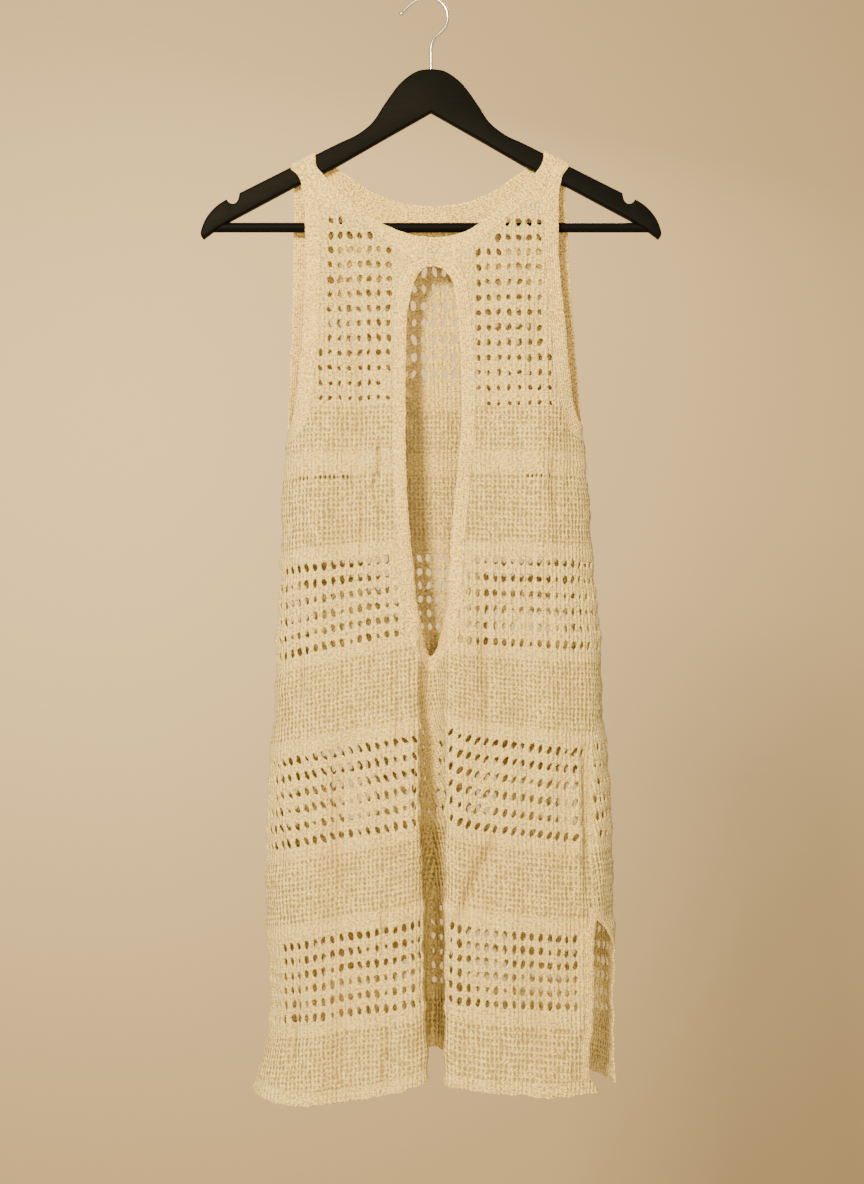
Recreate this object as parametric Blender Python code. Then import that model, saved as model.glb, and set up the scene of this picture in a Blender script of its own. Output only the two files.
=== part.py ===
"""Openwork knit tunic on a wooden hanger, as closed solids at real size.

The tables hold millimetres, and the solids are built in metres. The origin is the inner top of the
hanger's hook, +Z is up, the garment's front faces -Y, and +X is to the right as the front is seen.
A drop is a distance below the origin.

The garment is one closed ring in plan, worked out at each drop from RING_ROWS. A piece of knit is
cut from it by an outline in cloth coordinates: the distance along the ring from the piece's centre
line, and the height. Two pieces that are sewn together share the points of their seam.
"""

import math
from functools import lru_cache

import bmesh
import bpy
import numpy as np
from mathutils.geometry import delaunay_2d_cdt

MM = 0.001

# ---------------------------------------------------------------- knit and seams
WALL = 2.0
SEAM_GAP = 0.3
WELT_RAISE = 0.8
WELT_DROPS = (453, 545)
EDGE_STEP = 13
HEM_STEP = 9.5
FREE_OF_EDGE = 5.5

# ---------------------------------------------------------------- hanger
STEM_X = 3.2
ARM_THICKNESS = 12.0
ARM_CHAMFER = 2.2
ARM_SLOPE = 0.507
BAR_RADIUS = 4.75
BAR_DROP = 223.0
BAR_SIDES = 20
HOOK_WIRE = 1.6
HOOK_BALL = 2.2
HOOK_STEP = 4.5
TOUCH_GAP = 0.3

# ---------------------------------------------------------------- straps over the hanger's arms
WRAP_RADIUS = 4.3
WRAP_EASE = 70
STRAP_LIFT = 0.3
STRAP_GAP = 0.5
STRAP_OUT = ARM_THICKNESS / 2 + STRAP_GAP + WALL / 2
WRAP_FLAT = STRAP_OUT - WRAP_RADIUS
WRAP_ARC = WRAP_RADIUS * math.pi / 2
WRAP_STEPS = (WRAP_ARC + WRAP_FLAT, WRAP_ARC, WRAP_ARC * 2 / 3, WRAP_ARC / 3, 0)
# Where the shoulder seam is crossed by the armhole's edge, by the seam between the two bands of a
# strap, and by the neck's edge.
STRAP_LEFT = (-133, -120, -109)
STRAP_RIGHT = (137, 125, 113)

# The hook's centre line from the stem round to its ball: x, drop.
HOOK_ROUTE = ((3.2, 68.7), (3.2, 57), (3.4, 46.5), (6.5, 38), (12, 33), (17, 27.5), (19.5, 19),
              (18, 9.5), (12, 2.3), (3, -1.5), (-5, -1.2), (-13, 2.3), (-20, 8), (-25.7, 14.1))

# One half of the hanger's outline: distance from the stem's axis, drop.
CROWN_CURVE = ((0, 69), (13, 71), (29, 82), (45, 103), (57, 121), (72, 133), (90, 141.5), (111, 152))
NOTCH_AND_TIP = ((186.5, 190), (188, 196.5), (191, 200), (195, 200), (197.5, 198.3), (199, 196),
                 (207, 201), (214, 207.5), (219.5, 215), (223, 223), (224.5, 230.5), (222, 234.5))
UNDERSIDE = ((210, 225.5), (194, 216), (136, 185), (91, 163), (45, 136.5), (0, 111))

# ---------------------------------------------------------------- the garment's ring in plan
# drop, left and right sides, how far the front's left and right halves and the back stand out,
# edges and depth of the front's centre fold, depth of a soft crease in each front half, depth of
# the back's folds, and how far the side seams have turned: the right one to the front, the left
# one to the back.
RING_COLUMNS = ("drop", "left", "right", "front_left", "front_right", "back", "fold_left",
                "fold_right", "fold_depth", "crease_left", "crease_right", "back_fold",
                "turn_left", "turn_right")
RING_ROWS = (
    (148, -158, 165, 11, 11, 11, -24, 31, 0, 0, 0, 0, 0, 0),
    (197, -158, 163, 14, 14, 15, -24, 31, 0, 0, 0, 0, 0, 0),
    (247, -154, 160, 19, 19, 20, -24, 32, 0, 0, 0, 0, 0, 0),
    (315, -147, 158, 26, 26, 26, -24, 32, 0, 1, 0, 0, 0, 0),
    (374, -141, 155, 31, 31, 30, -24, 32, 2, 3, 1, 1, 0, 0),
    (422, -136, 151, 35, 35, 34, -23, 31, 4, 3, 2, 2, 0, 0),
    (480, -141, 156, 38, 38, 37, -22, 29, 8, 2, 3, 3, 0, 0),
    (548, -142, 160, 40, 41, 41, -17, 25, 12, 1, 6, 4, 0, 0),
    (625, -147, 168, 43, 45, 46, -10, 20, 20, 1, 8, 5, 0, 0),
    (683, -148, 169, 46, 48, 51, -9, 18, 34, 1, 7, 6, 5, 14),
    (740, -153, 175, 49, 52, 56, -9, 18, 56, 2, 5, 7, 9, 38),
    (807, -156, 179, 52, 56, 61, -8, 18, 76, 3, 4, 8, 12, 44),
    (874, -157, 180, 55, 60, 66, -5, 18, 90, 5, 4, 9, 12, 44),
    (932, -155, 182, 57, 62, 70, -5, 18, 96, 6, 4, 10, 12, 44),
    (989, -153, 182, 59, 63, 73, -3, 18, 98, 6, 5, 11, 12, 44),
    (1032, -160, 182, 60, 64, 75, -1, 17, 98, 7, 6, 12, 12, 44),
    (1072, -174, 185, 61, 65, 76, 1, 17, 98, 7, 6, 12, 12, 44),
)
# Places across a front half, from its side to the centre fold: share of the half's width, share of
# its depth, and share of its crease.
HALF_FRONT = ((0.0, 0.0, 0), (0.05, 0.40, 0), (0.15, 0.70, 0), (0.33, 0.94, 0), (0.56, 1.0, 1),
              (0.80, 1.0, 0))
# The fold's edge, wall and floor: where they lie while the front is still flat (shares of the
# fold's half width and depth), and once it is folded (the same, and millimetres added to each).
FOLD_FLAT = ((1.25, 0.0), (0.95, 0.05), (0.70, 0.25), (0.45, 0.65), (0.20, 0.95))
FOLD_DEEP = ((1.0, 0.0, 8, 0), (1.0, 0.0, 0, 7), (1.0, 0.5, 4, 0), (1.0, 1.0, 1, -9),
             (0.45, 1.0, 0, 0))
FULLY_FOLDED = 60
# Places across the back from left to right: share of the width, share of the depth, share of the
# fold's depth.
BACK_SECTION = ((0.035, 0.50, 0), (0.13, 0.90, 0.4), (0.25, 1.0, -1), (0.37, 1.0, 1),
                (0.5, 1.0, -1), (0.63, 1.0, 1), (0.75, 1.0, -1), (0.87, 0.90, 0.4),
                (0.965, 0.50, 0))
STEPS_PER_PLACE = 8

# How far a course of knit sags from the centre fold to each side: drop, left, right.
SAG_ROWS = ((374, 0, 0), (453, 4, 2), (545, 15, 6), (640, 24, 9), (720, 31, 27), (830, 33, 27),
            (910, 38, 25), (990, 34, 23), (1060, 25, 20))

# ---------------------------------------------------------------- outlines
# Lines a piece is cut along, as x and drop. The slit lines are drop, and how far round the ring the
# edge lies from the side: to the front on the right, to the back on the left. The hem lines are
# share of the piece's width from left to right, and drop.
FRONT_OUTLINES = {
    "neck": ((-108, 164), (-88, 187), (-57, 213), (-25, 230), (2, 235), (33, 231), (70, 206),
             (105, 171), (112, 160)),
    "strap_left": ((-114, 178), (-105, 205)),
    "strap_right": ((118, 178), (111, 199)),
    "armhole_left": ((-126, 174), (-122, 187), (-119, 222), (-119, 282), (-121, 325), (-125, 375),
                     (-129, 407), (-133, 418)),
    "armhole_right": ((131, 174), (128, 192), (127, 225), (128, 262), (132, 300), (137, 350),
                      (143, 393), (147, 410)),
    "inner_left": ((-105, 205), (-104, 240), (-104, 290), (-106, 335), (-110, 385), (-116, 415),
                   (-125, 430)),
    "inner_right": ((111, 199), (112, 226), (114, 265), (117, 303), (122, 355), (128, 398),
                    (136, 418), (143, 426)),
    "slit_left": ((892, 12), (912, 6), (945, 2), (1000, 0), (1030, 0), (1062, 0)),
    "slit_right": ((892, 44), (905, 49), (940, 51), (990, 53), (1020, 56), (1041, 56), (1057, 46)),
    "hem": ((0, 1062), (0.12, 1067), (0.25, 1060), (0.36, 1044), (0.45, 1033), (0.53, 1031),
            (0.62, 1037), (0.74, 1047), (0.88, 1057), (1, 1057)),
}
BACK_OUTLINES = {
    "neck": ((-100, 158), (-80, 169), (-55, 185), (-28, 195), (4, 199), (38, 195), (64, 185),
             (88, 169), (108, 158)),
    "strap_left": ((-114, 172), (-108, 190)),
    "strap_right": ((119, 172), (114, 190)),
    "armhole_left": ((-131, 184), (-132, 233), (-133, 292), (-134, 340), (-135, 390), (-136, 412)),
    "armhole_right": ((135, 184), (138, 233), (142, 292), (145, 340), (148, 385), (150, 406)),
    "inner_left": ((-108, 190), (-115, 225), (-118, 290), (-119, 340), (-121, 390), (-127, 422)),
    "inner_right": ((114, 190), (121, 225), (126, 290), (129, 340), (132, 385), (140, 417)),
    "slit_left": ((892, 12), (912, 28), (945, 34), (1000, 38), (1030, 40), (1058, 42)),
    "slit_right": ((892, 44), (905, 28), (923, 8), (943, 0), (960, -6), (980, -9), (1010, -2),
                   (1035, -7), (1058, 0)),
    "hem": ((0, 1058), (0.2, 1055), (0.36, 1042), (0.5, 1033), (0.64, 1040), (0.8, 1054),
            (1, 1058)),
}
FRONT_NECKBAND_LEFT = ((-105, 205), (-81, 222), (-58, 237), (-34, 250), (-15, 257.5))
FRONT_NECKBAND_ARCH = ((-15, 257.5), (-6, 252.5), (6, 250.5), (18, 252.5), (27, 257.5))
FRONT_NECKBAND_RIGHT = ((27, 257.5), (48, 246), (70, 231), (92, 214), (111, 199))
BACK_NECKBAND = ((-108, 190), (-85, 203), (-58, 217), (-28, 227), (4, 230), (38, 227), (68, 217),
                 (94, 203), (114, 190))
KEYHOLE = ((6, 264), (-10, 277), (-19, 305), (-20.5, 350), (-21, 410), (-20.5, 465), (-18, 510),
           (-13, 555), (-9, 595), (-5, 620), (3, 641), (12, 622), (18, 595), (21, 560), (24, 515),
           (29, 464), (32.5, 410), (32, 365), (30, 325), (27, 295), (20, 273))
KEYHOLE_BAND = ((-15, 257.5), (-25, 270), (-32, 303), (-33.5, 350), (-34, 410), (-33.5, 465),
                (-31, 512), (-26, 558), (-21, 600), (-13, 634), (3, 657), (20, 634), (30, 598),
                (34, 560), (37, 516), (42, 466), (45.5, 410), (45, 365), (43, 325), (40, 293),
                (34, 270), (27, 257.5))
UNDERARM_LEFT = 424
UNDERARM_RIGHT = 418
ARMHOLE_BAND = 15
SLIT_TOP = 892
SLIT_BAND = 10
SLIT_BAND_HEAD = 12
HEM_BAND = 14

# ---------------------------------------------------------------- eyelets cut in the solids
# first column (x), columns, step between columns, first row (drop), rows, step between rows,
# width, height
FRONT_EYELETS_LEFT = (-37.5, 8, -9.4, 219, 13, 14.4, 5.6, 7.8)
FRONT_EYELETS_RIGHT = (49, 8, 9.8, 221, 13, 14.7, 5.6, 7.8)
BACK_EYELETS = (-94.5, 21, 10.1, 263, 7, 16.6, 6.4, 10.6)
EYELET_MARGIN = 6.5
EYELET_SIDES = 6
EYELET_CLEAR = 10

# Where the panels get inner points: places of the ring, and drops.
FRONT_HALF_COLUMNS = (0.5, 1, 1.5, 2, 2.5, 3, 4, 5, 6, 6.5, 7, 7.5, 8, 9, 10)
BACK_COLUMNS = (21.5, 22, 22.5, 23, 24, 24.5, 25, 25.5, 26, 26.5, 27, 27.5, 28, 28.5, 29, 30,
                30.5, 31, 31.5, 32, 32.5)
FRONT_ROWS = tuple(range(425, 1035, 34))
BACK_ROWS = tuple(range(240, 1035, 36))
WELT_HALF = 5

KNIT_COLOUR = (0.78, 0.66, 0.40, 1)
BAND_COLOUR = (0.82, 0.71, 0.47, 1)
BLACK_WOOD = (0.012, 0.011, 0.012, 1)
CHROME = (0.62, 0.62, 0.60, 1)


# ---------------------------------------------------------------- curves
def smooth(x, places, values):
    """Height at x of a smooth curve through the given places and values, or of several at once."""
    places = np.asarray(places, float)
    values = np.asarray(values, float)
    x = min(max(x, places[0]), places[-1])
    slopes = np.gradient(values, places, axis=0)
    i = min(max(int(np.searchsorted(places, x)) - 1, 0), len(places) - 2)
    width = places[i + 1] - places[i]
    t = (x - places[i]) / width
    start = (2 * t ** 3 - 3 * t ** 2 + 1) * values[i] + (t ** 3 - 2 * t ** 2 + t) * width * slopes[i]
    end = (3 * t ** 2 - 2 * t ** 3) * values[i + 1] + (t ** 3 - t ** 2) * width * slopes[i + 1]
    return start + end


def ease(t):
    """0 up to t = 0, 1 from t = 1 on, and a smooth rise between them."""
    t = min(max(t, 0.0), 1.0)
    return t * t * (3 - 2 * t)


def catmull_rom(points, closed, steps):
    """Points on a smooth curve through the given ones, with the given steps between two of them."""
    points = np.asarray(points, float)
    if closed:
        points = np.vstack((points[-1:], points, points[:2]))
    else:
        before = 2 * points[0] - points[1]
        after = 2 * points[-1] - points[-2]
        points = np.vstack((before, points, after))
    a, b, c, d = (points[k:len(points) - 3 + k, None] for k in range(4))
    k1 = np.linalg.norm(b - a, axis=2, keepdims=True) ** 0.5
    k2 = np.linalg.norm(c - b, axis=2, keepdims=True) ** 0.5
    k3 = np.linalg.norm(d - c, axis=2, keepdims=True) ** 0.5
    start = k2 * ((b - a) / k1 - (c - a) / (k1 + k2) + (c - b) / k2)
    end = k2 * ((c - b) / k2 - (d - b) / (k2 + k3) + (d - c) / k3)
    t = np.linspace(0, 1, steps, endpoint=False)[None, :, None]
    curve = ((2 * t ** 3 - 3 * t ** 2 + 1) * b + (t ** 3 - 2 * t ** 2 + t) * start
             + (3 * t ** 2 - 2 * t ** 3) * c + (t ** 3 - t ** 2) * end)
    last = points[1] if closed else points[-2]
    return np.vstack((curve.reshape(-1, 2), last))


def resample(points, step):
    """The same line with its points about a step apart, and its ends kept."""
    points = np.asarray(points, float)
    along = np.concatenate(([0], np.cumsum(np.linalg.norm(np.diff(points, axis=0), axis=1))))
    count = max(2, int(round(along[-1] / step)) + 1)
    places = np.linspace(0, along[-1], count)
    return np.column_stack([np.interp(places, along, points[:, k]) for k in (0, 1)])


def even_curve(points, step):
    """Points about a step apart on a smooth curve through the given ones."""
    return resample(catmull_rom(points, False, 12), step)


# ---------------------------------------------------------------- the ring
def ring_sizes(drop):
    """The ring's named sizes at one drop."""
    table = np.array(RING_ROWS, float)
    return dict(zip(RING_COLUMNS, smooth(drop, table[:, 0], table)))


def half_front(side, width, depth, crease, centre, half_gap, fold_depth):
    """Places from one side of the front to the floor of its centre fold; side is 1 or -1."""
    folded = min(1.0, fold_depth / FULLY_FOLDED)
    edge = centre + side * (half_gap + width)
    places = [(edge - side * share * width, -depth * out + crease * dip)
              for share, out, dip in HALF_FRONT]
    for flat, deep in zip(FOLD_FLAT, FOLD_DEEP):
        flat_x, flat_y = flat[0] * half_gap, flat[1] * fold_depth
        deep_x, deep_y = deep[0] * half_gap + deep[2], deep[1] * fold_depth + deep[3]
        x = flat_x + (deep_x - flat_x) * folded
        y = flat_y + (deep_y - flat_y) * folded
        places.append((centre + side * x, -depth + y))
    return places


RIGHT_SIDE = 0
CENTRE = len(HALF_FRONT) + len(FOLD_FLAT) - 0.5
LEFT_SIDE = 2 * CENTRE
BACK_CENTRE = LEFT_SIDE + (len(BACK_SECTION) + 1) / 2
PLACES = int(LEFT_SIDE) + 1 + len(BACK_SECTION)
FOLD_EDGES = (len(HALF_FRONT) + 1, int(LEFT_SIDE) - len(HALF_FRONT) - 1)
FRONT_COLUMNS = FRONT_HALF_COLUMNS + tuple(LEFT_SIDE - c for c in FRONT_HALF_COLUMNS[::-1])
WELT_COLUMNS = tuple(range(1, int(LEFT_SIDE)))


@lru_cache(maxsize=None)
def ring(drop):
    """The ring at one drop: its points, and the distance along it to each of them."""
    s = ring_sizes(drop)
    centre = (s["fold_left"] + s["fold_right"]) / 2
    half_gap = (s["fold_right"] - s["fold_left"]) / 2
    right = half_front(1, s["right"] - s["fold_right"], s["front_right"], s["crease_right"],
                       centre, half_gap, s["fold_depth"])
    left = half_front(-1, s["fold_left"] - s["left"], s["front_left"], s["crease_left"],
                      centre, half_gap, s["fold_depth"])
    back = [(s["left"] + share * (s["right"] - s["left"]),
             s["back"] * out + s["back_fold"] * fold) for share, out, fold in BACK_SECTION]
    points = catmull_rom(right + left[::-1] + back, True, STEPS_PER_PLACE)
    along = np.concatenate(([0], np.cumsum(np.linalg.norm(np.diff(points, axis=0), axis=1))))
    return points, along


def along_at(place, drop):
    """Distance along the ring to one of its places, which may lie between two of them."""
    along = ring(drop)[1]
    turns, rest = divmod(place, PLACES)
    steps = np.arange(len(along)) / STEPS_PER_PLACE
    return float(np.interp(rest, steps, along)) + turns * along[-1]


def ring_point(distance, drop):
    """The point at a distance along the ring."""
    points, along = ring(drop)
    distance = distance % along[-1]
    return (float(np.interp(distance, along, points[:, 0])),
            float(np.interp(distance, along, points[:, 1])))


class Side:
    """The front or the back: its cloth coordinates and where they lie in space."""

    def __init__(self, name, centre, sign):
        self.name = name
        self.centre = centre
        self.sign = sign

    def across(self, distance, drop):
        """Distance across the cloth, to the right of the centre line, from one along the ring."""
        return self.sign * (distance - along_at(self.centre, drop))

    def from_x(self, x, drop):
        """Cloth coordinates of the point that shows at x and a drop."""
        points, along = ring(drop)
        low, high = (RIGHT_SIDE, LEFT_SIDE) if self.name == "front" else (LEFT_SIDE, PLACES)
        part = slice(int(low) * STEPS_PER_PLACE, int(high) * STEPS_PER_PLACE + 1)
        xs, distances = points[part, 0], along[part]
        if self.name == "front":
            xs, distances = xs[::-1], distances[::-1]
        xs = np.maximum.accumulate(xs)
        return (self.across(float(np.interp(x, xs, distances)), drop), -drop)

    def from_place(self, place, drop, extra=0.0):
        """Cloth coordinates of a place of the ring, and of one an extra distance along it."""
        return (self.across(along_at(place, drop) + extra, drop), -drop)

    def right_edge(self, drop, turn):
        """A point turned to the front from the right side."""
        place = RIGHT_SIDE if self.name == "front" else PLACES
        return self.from_place(place, drop, turn)

    def left_edge(self, drop, turn):
        """A point turned to the back from the left side."""
        return self.from_place(LEFT_SIDE, drop, turn)

    def point(self, across, height):
        """Where a point of the cloth's middle lies, in millimetres."""
        drop = -height
        distance = along_at(self.centre, drop) + self.sign * across
        x, y = ring_point(distance, drop)
        front = self.name == "front"
        out = -y if front else y
        over = wrap_drop(x) - drop
        if over <= 0:
            if out > STRAP_OUT:
                out = STRAP_OUT + (out - STRAP_OUT) * ease(-over / WRAP_EASE)
        elif over < WRAP_ARC:
            out = WRAP_FLAT + WRAP_RADIUS * math.cos(over / WRAP_RADIUS)
            drop = wrap_drop(x) - WRAP_RADIUS * math.sin(over / WRAP_RADIUS)
        else:
            out = WRAP_FLAT - (over - WRAP_ARC)
            drop = wrap_drop(x) - WRAP_RADIUS
        return np.array((x, -out if front else out, -drop))

    def normal(self, across, height):
        """The outward direction of the cloth at a point."""
        step = 0.4
        sideways = self.point(across + step, height) - self.point(across - step, height)
        upward = self.point(across, height + step) - self.point(across, height - step)
        out = np.cross(sideways, upward)
        if self.name == "back":
            out = -out
        return out / np.linalg.norm(out)


FRONT = Side("front", CENTRE, -1)
BACK = Side("back", BACK_CENTRE, 1)


# ---------------------------------------------------------------- the straps over the hanger
def arm_top(x):
    """Drop of the hanger arm's upper edge where it is straight."""
    start, drop = CROWN_CURVE[-1]
    return drop + ARM_SLOPE * (abs(x - STEM_X) - start)


def wrap_drop(x):
    """Drop at which the cloth starts to bend over the hanger's arm."""
    return arm_top(x) - STRAP_LIFT - STRAP_GAP - WALL / 2 + WRAP_RADIUS


def over_arm(x):
    """Points of a strap at x, from the shoulder seam on top of the arm to where it hangs."""
    return [(x, wrap_drop(x) - over) for over in WRAP_STEPS]


def strap_inner(side, first_x, last_x):
    """Inner points of a strap's band where it bends over the arm."""
    points = []
    for share in (1 / 3, 2 / 3):
        points += [side.from_x(*p) for p in over_arm(first_x + (last_x - first_x) * share)]
    return points


# ---------------------------------------------------------------- courses and outlines
def course_drop(place, drop):
    """Drop of a course of knit at a place of the front; the course has the given drop at the fold."""
    if drop <= SAG_ROWS[0][0]:
        return drop
    right, left = FOLD_EDGES
    drops, left_sags, right_sags = zip(*SAG_ROWS)
    if place < right:
        towards_side = 1 - along_at(place, drop) / along_at(right, drop)
        return drop + smooth(drop, drops, right_sags) * ease(towards_side)
    if place > left:
        start = along_at(left, drop)
        towards_side = (along_at(place, drop) - start) / (along_at(LEFT_SIDE, drop) - start)
        return drop + smooth(drop, drops, left_sags) * ease(towards_side)
    return drop


def cloth_line(side, points, step=EDGE_STEP):
    """A smooth line through points given by x and drop, in cloth coordinates."""
    return [side.from_x(x, drop) for x, drop in even_curve(points, step)]


def strap_line(side, x, points):
    """A line from the shoulder seam at x, over the arm and on through the points."""
    start = over_arm(x)
    below = even_curve((start[-1],) + points, EDGE_STEP)
    return [side.from_x(*p) for p in start[:-1]] + [side.from_x(*p) for p in below]


def neck_line(side, points):
    """The neck's edge, from the left shoulder seam to the right one."""
    left = over_arm(STRAP_LEFT[2])
    right = over_arm(STRAP_RIGHT[2])
    middle = even_curve((left[-1],) + points + (right[-1],), EDGE_STEP)
    return [side.from_x(*p) for p in left[:-1] + list(middle) + right[-2::-1]]


def edge_line(edge, rows, start, end, inward=0.0):
    """A line down the cloth, from rows of drop and turn; inward shifts it along the ring."""
    drops, turns = zip(*rows)
    count = max(2, int(round((end - start) / EDGE_STEP)) + 1)
    return [edge(drop, smooth(drop, drops, turns) + inward)
            for drop in np.linspace(start, end, count)]


def seam_turns(column):
    """Rows of drop and turn of a side seam."""
    place = RING_COLUMNS.index(column)
    return [(row[0], row[place]) for row in RING_ROWS]


def hem_line(side, hem, slits, up):
    """The hem from left to right, raised by a distance, in cloth coordinates."""
    shares, drops = zip(*hem)
    left_rows, right_rows = slits
    middle = hem[len(hem) // 2][1] - up
    width = (side.right_edge(middle, right_rows[-1][1])[0]
             - side.left_edge(middle, left_rows[-1][1])[0])
    line = []
    for share in np.linspace(0, 1, int(round(width / HEM_STEP)) + 1):
        drop = smooth(share, shares, drops) - up
        start = side.left_edge(drop, smooth(drop, *zip(*left_rows)))[0]
        end = side.right_edge(drop, smooth(drop, *zip(*right_rows)))[0]
        line.append((start + (end - start) * share, -drop))
    return line


def joined(*lines):
    """One closed outline from lines that follow each other, with no point twice."""
    outline = []
    for line in lines:
        for point in line:
            if not outline or math.dist(point, outline[-1]) > 0.01:
                outline.append(tuple(point))
    if math.dist(outline[0], outline[-1]) < 0.01:
        outline.pop()
    return outline


def turned(line):
    """The same line the other way round."""
    return list(line)[::-1]


def signed_area(loop):
    """Area of a closed outline, positive when it runs anticlockwise."""
    loop = np.asarray(loop)
    following = np.roll(loop, -1, axis=0)
    return 0.5 * float(np.sum(loop[:, 0] * following[:, 1] - following[:, 0] * loop[:, 1]))


def inset(loop, distance):
    """A closed outline moved inwards by a distance."""
    loop = np.asarray(loop if signed_area(loop) > 0 else loop[::-1], float)
    moved = []
    for before, point, after in zip(np.roll(loop, 1, axis=0), loop, np.roll(loop, -1, axis=0)):
        arriving = (point - before) / np.linalg.norm(point - before)
        leaving = (after - point) / np.linalg.norm(after - point)
        first = np.array((-arriving[1], arriving[0]))
        second = np.array((-leaving[1], leaving[0]))
        bisector = first + second
        moved.append(point + bisector * distance / max(1 + float(first @ second), 0.35))
    return np.array(moved)


def inside(points, loop):
    """For each point, whether it lies inside a closed outline."""
    x, y = points[:, 0], points[:, 1]
    result = np.zeros(len(points), bool)
    for (ax, ay), (bx, by) in zip(loop, np.roll(loop, -1, axis=0)):
        if ay == by:
            continue
        crosses = ((ay > y) != (by > y)) & (x < (bx - ax) * (y - ay) / (by - ay) + ax)
        result ^= crosses
    return result


def clearance(points, loop):
    """Distance of each point from a closed outline."""
    nearest = np.full(len(points), np.inf)
    for a, b in zip(loop, np.roll(loop, -1, axis=0)):
        line = b - a
        share = np.clip(((points - a) @ line) / max(float(line @ line), 1e-9), 0, 1)
        nearest = np.minimum(nearest, np.linalg.norm(points - a - share[:, None] * line, axis=1))
    return nearest


# ---------------------------------------------------------------- solids of knit
def welt_raise(side, across, height):
    """How much a raised course adds to the cloth's outside at a point."""
    if side.name == "back":
        return 0.0
    distance = along_at(side.centre, -height) + side.sign * across
    points, along = ring(-height)
    place = float(np.interp(distance, along, np.arange(len(along)) / STEPS_PER_PLACE))
    for drop in WELT_DROPS:
        if abs(course_drop(place, drop) + height) < 1.5:
            return WELT_RAISE
    return 0.0


def triangulate(outline, holes, inner):
    """Triangles that fill an outline round its holes, through the inner points."""
    loops = [np.asarray(outline)] + [np.asarray(hole) for hole in holes]
    points = np.vstack(loops + ([inner] if len(inner) else []))
    loop_of = []
    edges = []
    for number, loop in enumerate(loops):
        start = len(loop_of)
        loop_of += [number] * len(loop)
        edges += [(start + k, start + (k + 1) % len(loop)) for k in range(len(loop))]
    loop_of += [-1] * (len(points) - len(loop_of))
    outer = list(range(len(loops[0])))
    result = delaunay_2d_cdt([tuple(p) for p in points], edges, [outer], 1, 1e-5)
    corners, triangles, sources = result[0], result[2], result[3]
    owners = [loop_of[source[0]] if source else -1 for source in sources]
    flat = np.array([tuple(corner) for corner in corners])
    kept = []
    for triangle in triangles:
        owner = owners[triangle[0]]
        if owner > 0 and owner == owners[triangle[1]] == owners[triangle[2]]:
            if inside(flat[list(triangle)].mean(axis=0)[None], loops[owner])[0]:
                continue
        kept.append(list(triangle))
    return flat, kept


def closed_outwards(mesh):
    """Drop a mesh's loose points, make it triangles and turn its faces outwards."""
    work = bmesh.new()
    work.from_mesh(mesh)
    loose = [v for v in work.verts if not v.link_faces]
    bmesh.ops.delete(work, geom=loose, context="VERTS")
    bmesh.ops.recalc_face_normals(work, faces=work.faces)
    bmesh.ops.triangulate(work, faces=work.faces)
    work.to_mesh(mesh)
    work.free()


def knit_solid(name, side, outline, material, holes=(), inner=(), clear=1.5, raised=False):
    """A wall of knit with its outside and inside half a wall either side of the cloth."""
    outline = inset(outline, SEAM_GAP / 2)
    inner = np.asarray(inner, float).reshape(-1, 2)
    if len(inner):
        inner = inner[inside(inner, outline) & (clearance(inner, outline) > clear)]
    corners, triangles = triangulate(outline, holes, inner)
    outer, under = [], []
    for across, height in corners:
        middle = side.point(across, height)
        out = side.normal(across, height)
        extra = welt_raise(side, across, height) if raised else 0.0
        outer.append((middle + out * (WALL / 2 + extra)) * MM)
        under.append((middle - out * WALL / 2) * MM)
    count = len(corners)
    faces = [tuple(t) for t in triangles] + [tuple(k + count for k in t[::-1]) for t in triangles]
    used = {}
    for t in triangles:
        for a, b in zip(t, t[1:] + t[:1]):
            used[(a, b)] = True
    for a, b in used:
        if (b, a) not in used:
            faces.append((b, a, a + count, b + count))
    mesh = bpy.data.meshes.new(name)
    mesh.from_pydata([tuple(p) for p in outer + under], [], faces)
    closed_outwards(mesh)
    return add_object(name, mesh, material)


def lattice(side, places, drops):
    """Inner points of a panel, where its courses cross lines down the ring's places."""
    points = []
    for drop in drops:
        for place in places:
            course = course_drop(place, drop) if side.name == "front" else drop
            points.append(side.from_place(place, course))
    return points


def clear_of_eyelets(points, centres):
    """The points that are no nearer than an eyelet to any of the centres."""
    kept = []
    for point in points:
        nearest = min((math.dist(point, centre) for centre in centres), default=math.inf)
        if nearest > EYELET_CLEAR:
            kept.append(point)
    return kept


def eyelets(side, table, outline, taken):
    """Outlines of the eyelets of one block that lie clear inside a panel."""
    first_x, columns, column_step, first_drop, rows, row_step, width, height = table
    holes = []
    limit = np.asarray(outline)
    for row in range(rows):
        drop = first_drop + row * row_step
        start, level = side.from_x(first_x, drop)
        for column in range(columns):
            centre = np.array((start + column * column_step, level))
            inside_panel = inside(centre[None], limit)[0]
            if not inside_panel or clearance(centre[None], limit)[0] < EYELET_MARGIN:
                continue
            angles = math.pi / 2 + np.arange(EYELET_SIDES) * 2 * math.pi / EYELET_SIDES
            hole = centre + np.column_stack((np.cos(angles) * width / 2,
                                             np.sin(angles) * height / 2))
            holes.append(hole)
            taken.append(centre)
    return holes


# ---------------------------------------------------------------- Blender objects
def clear_scene():
    """Remove what the opened file holds."""
    for thing in list(bpy.data.objects):
        bpy.data.objects.remove(thing, do_unlink=True)


def plain_material(name, colour, roughness, metallic=0.0):
    """A Principled material of one colour."""
    material = bpy.data.materials.new(name)
    material.use_nodes = True
    shader = material.node_tree.nodes["Principled BSDF"]
    shader.inputs["Base Color"].default_value = colour
    shader.inputs["Roughness"].default_value = roughness
    shader.inputs["Metallic"].default_value = metallic
    material.diffuse_color = colour
    return material


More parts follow.
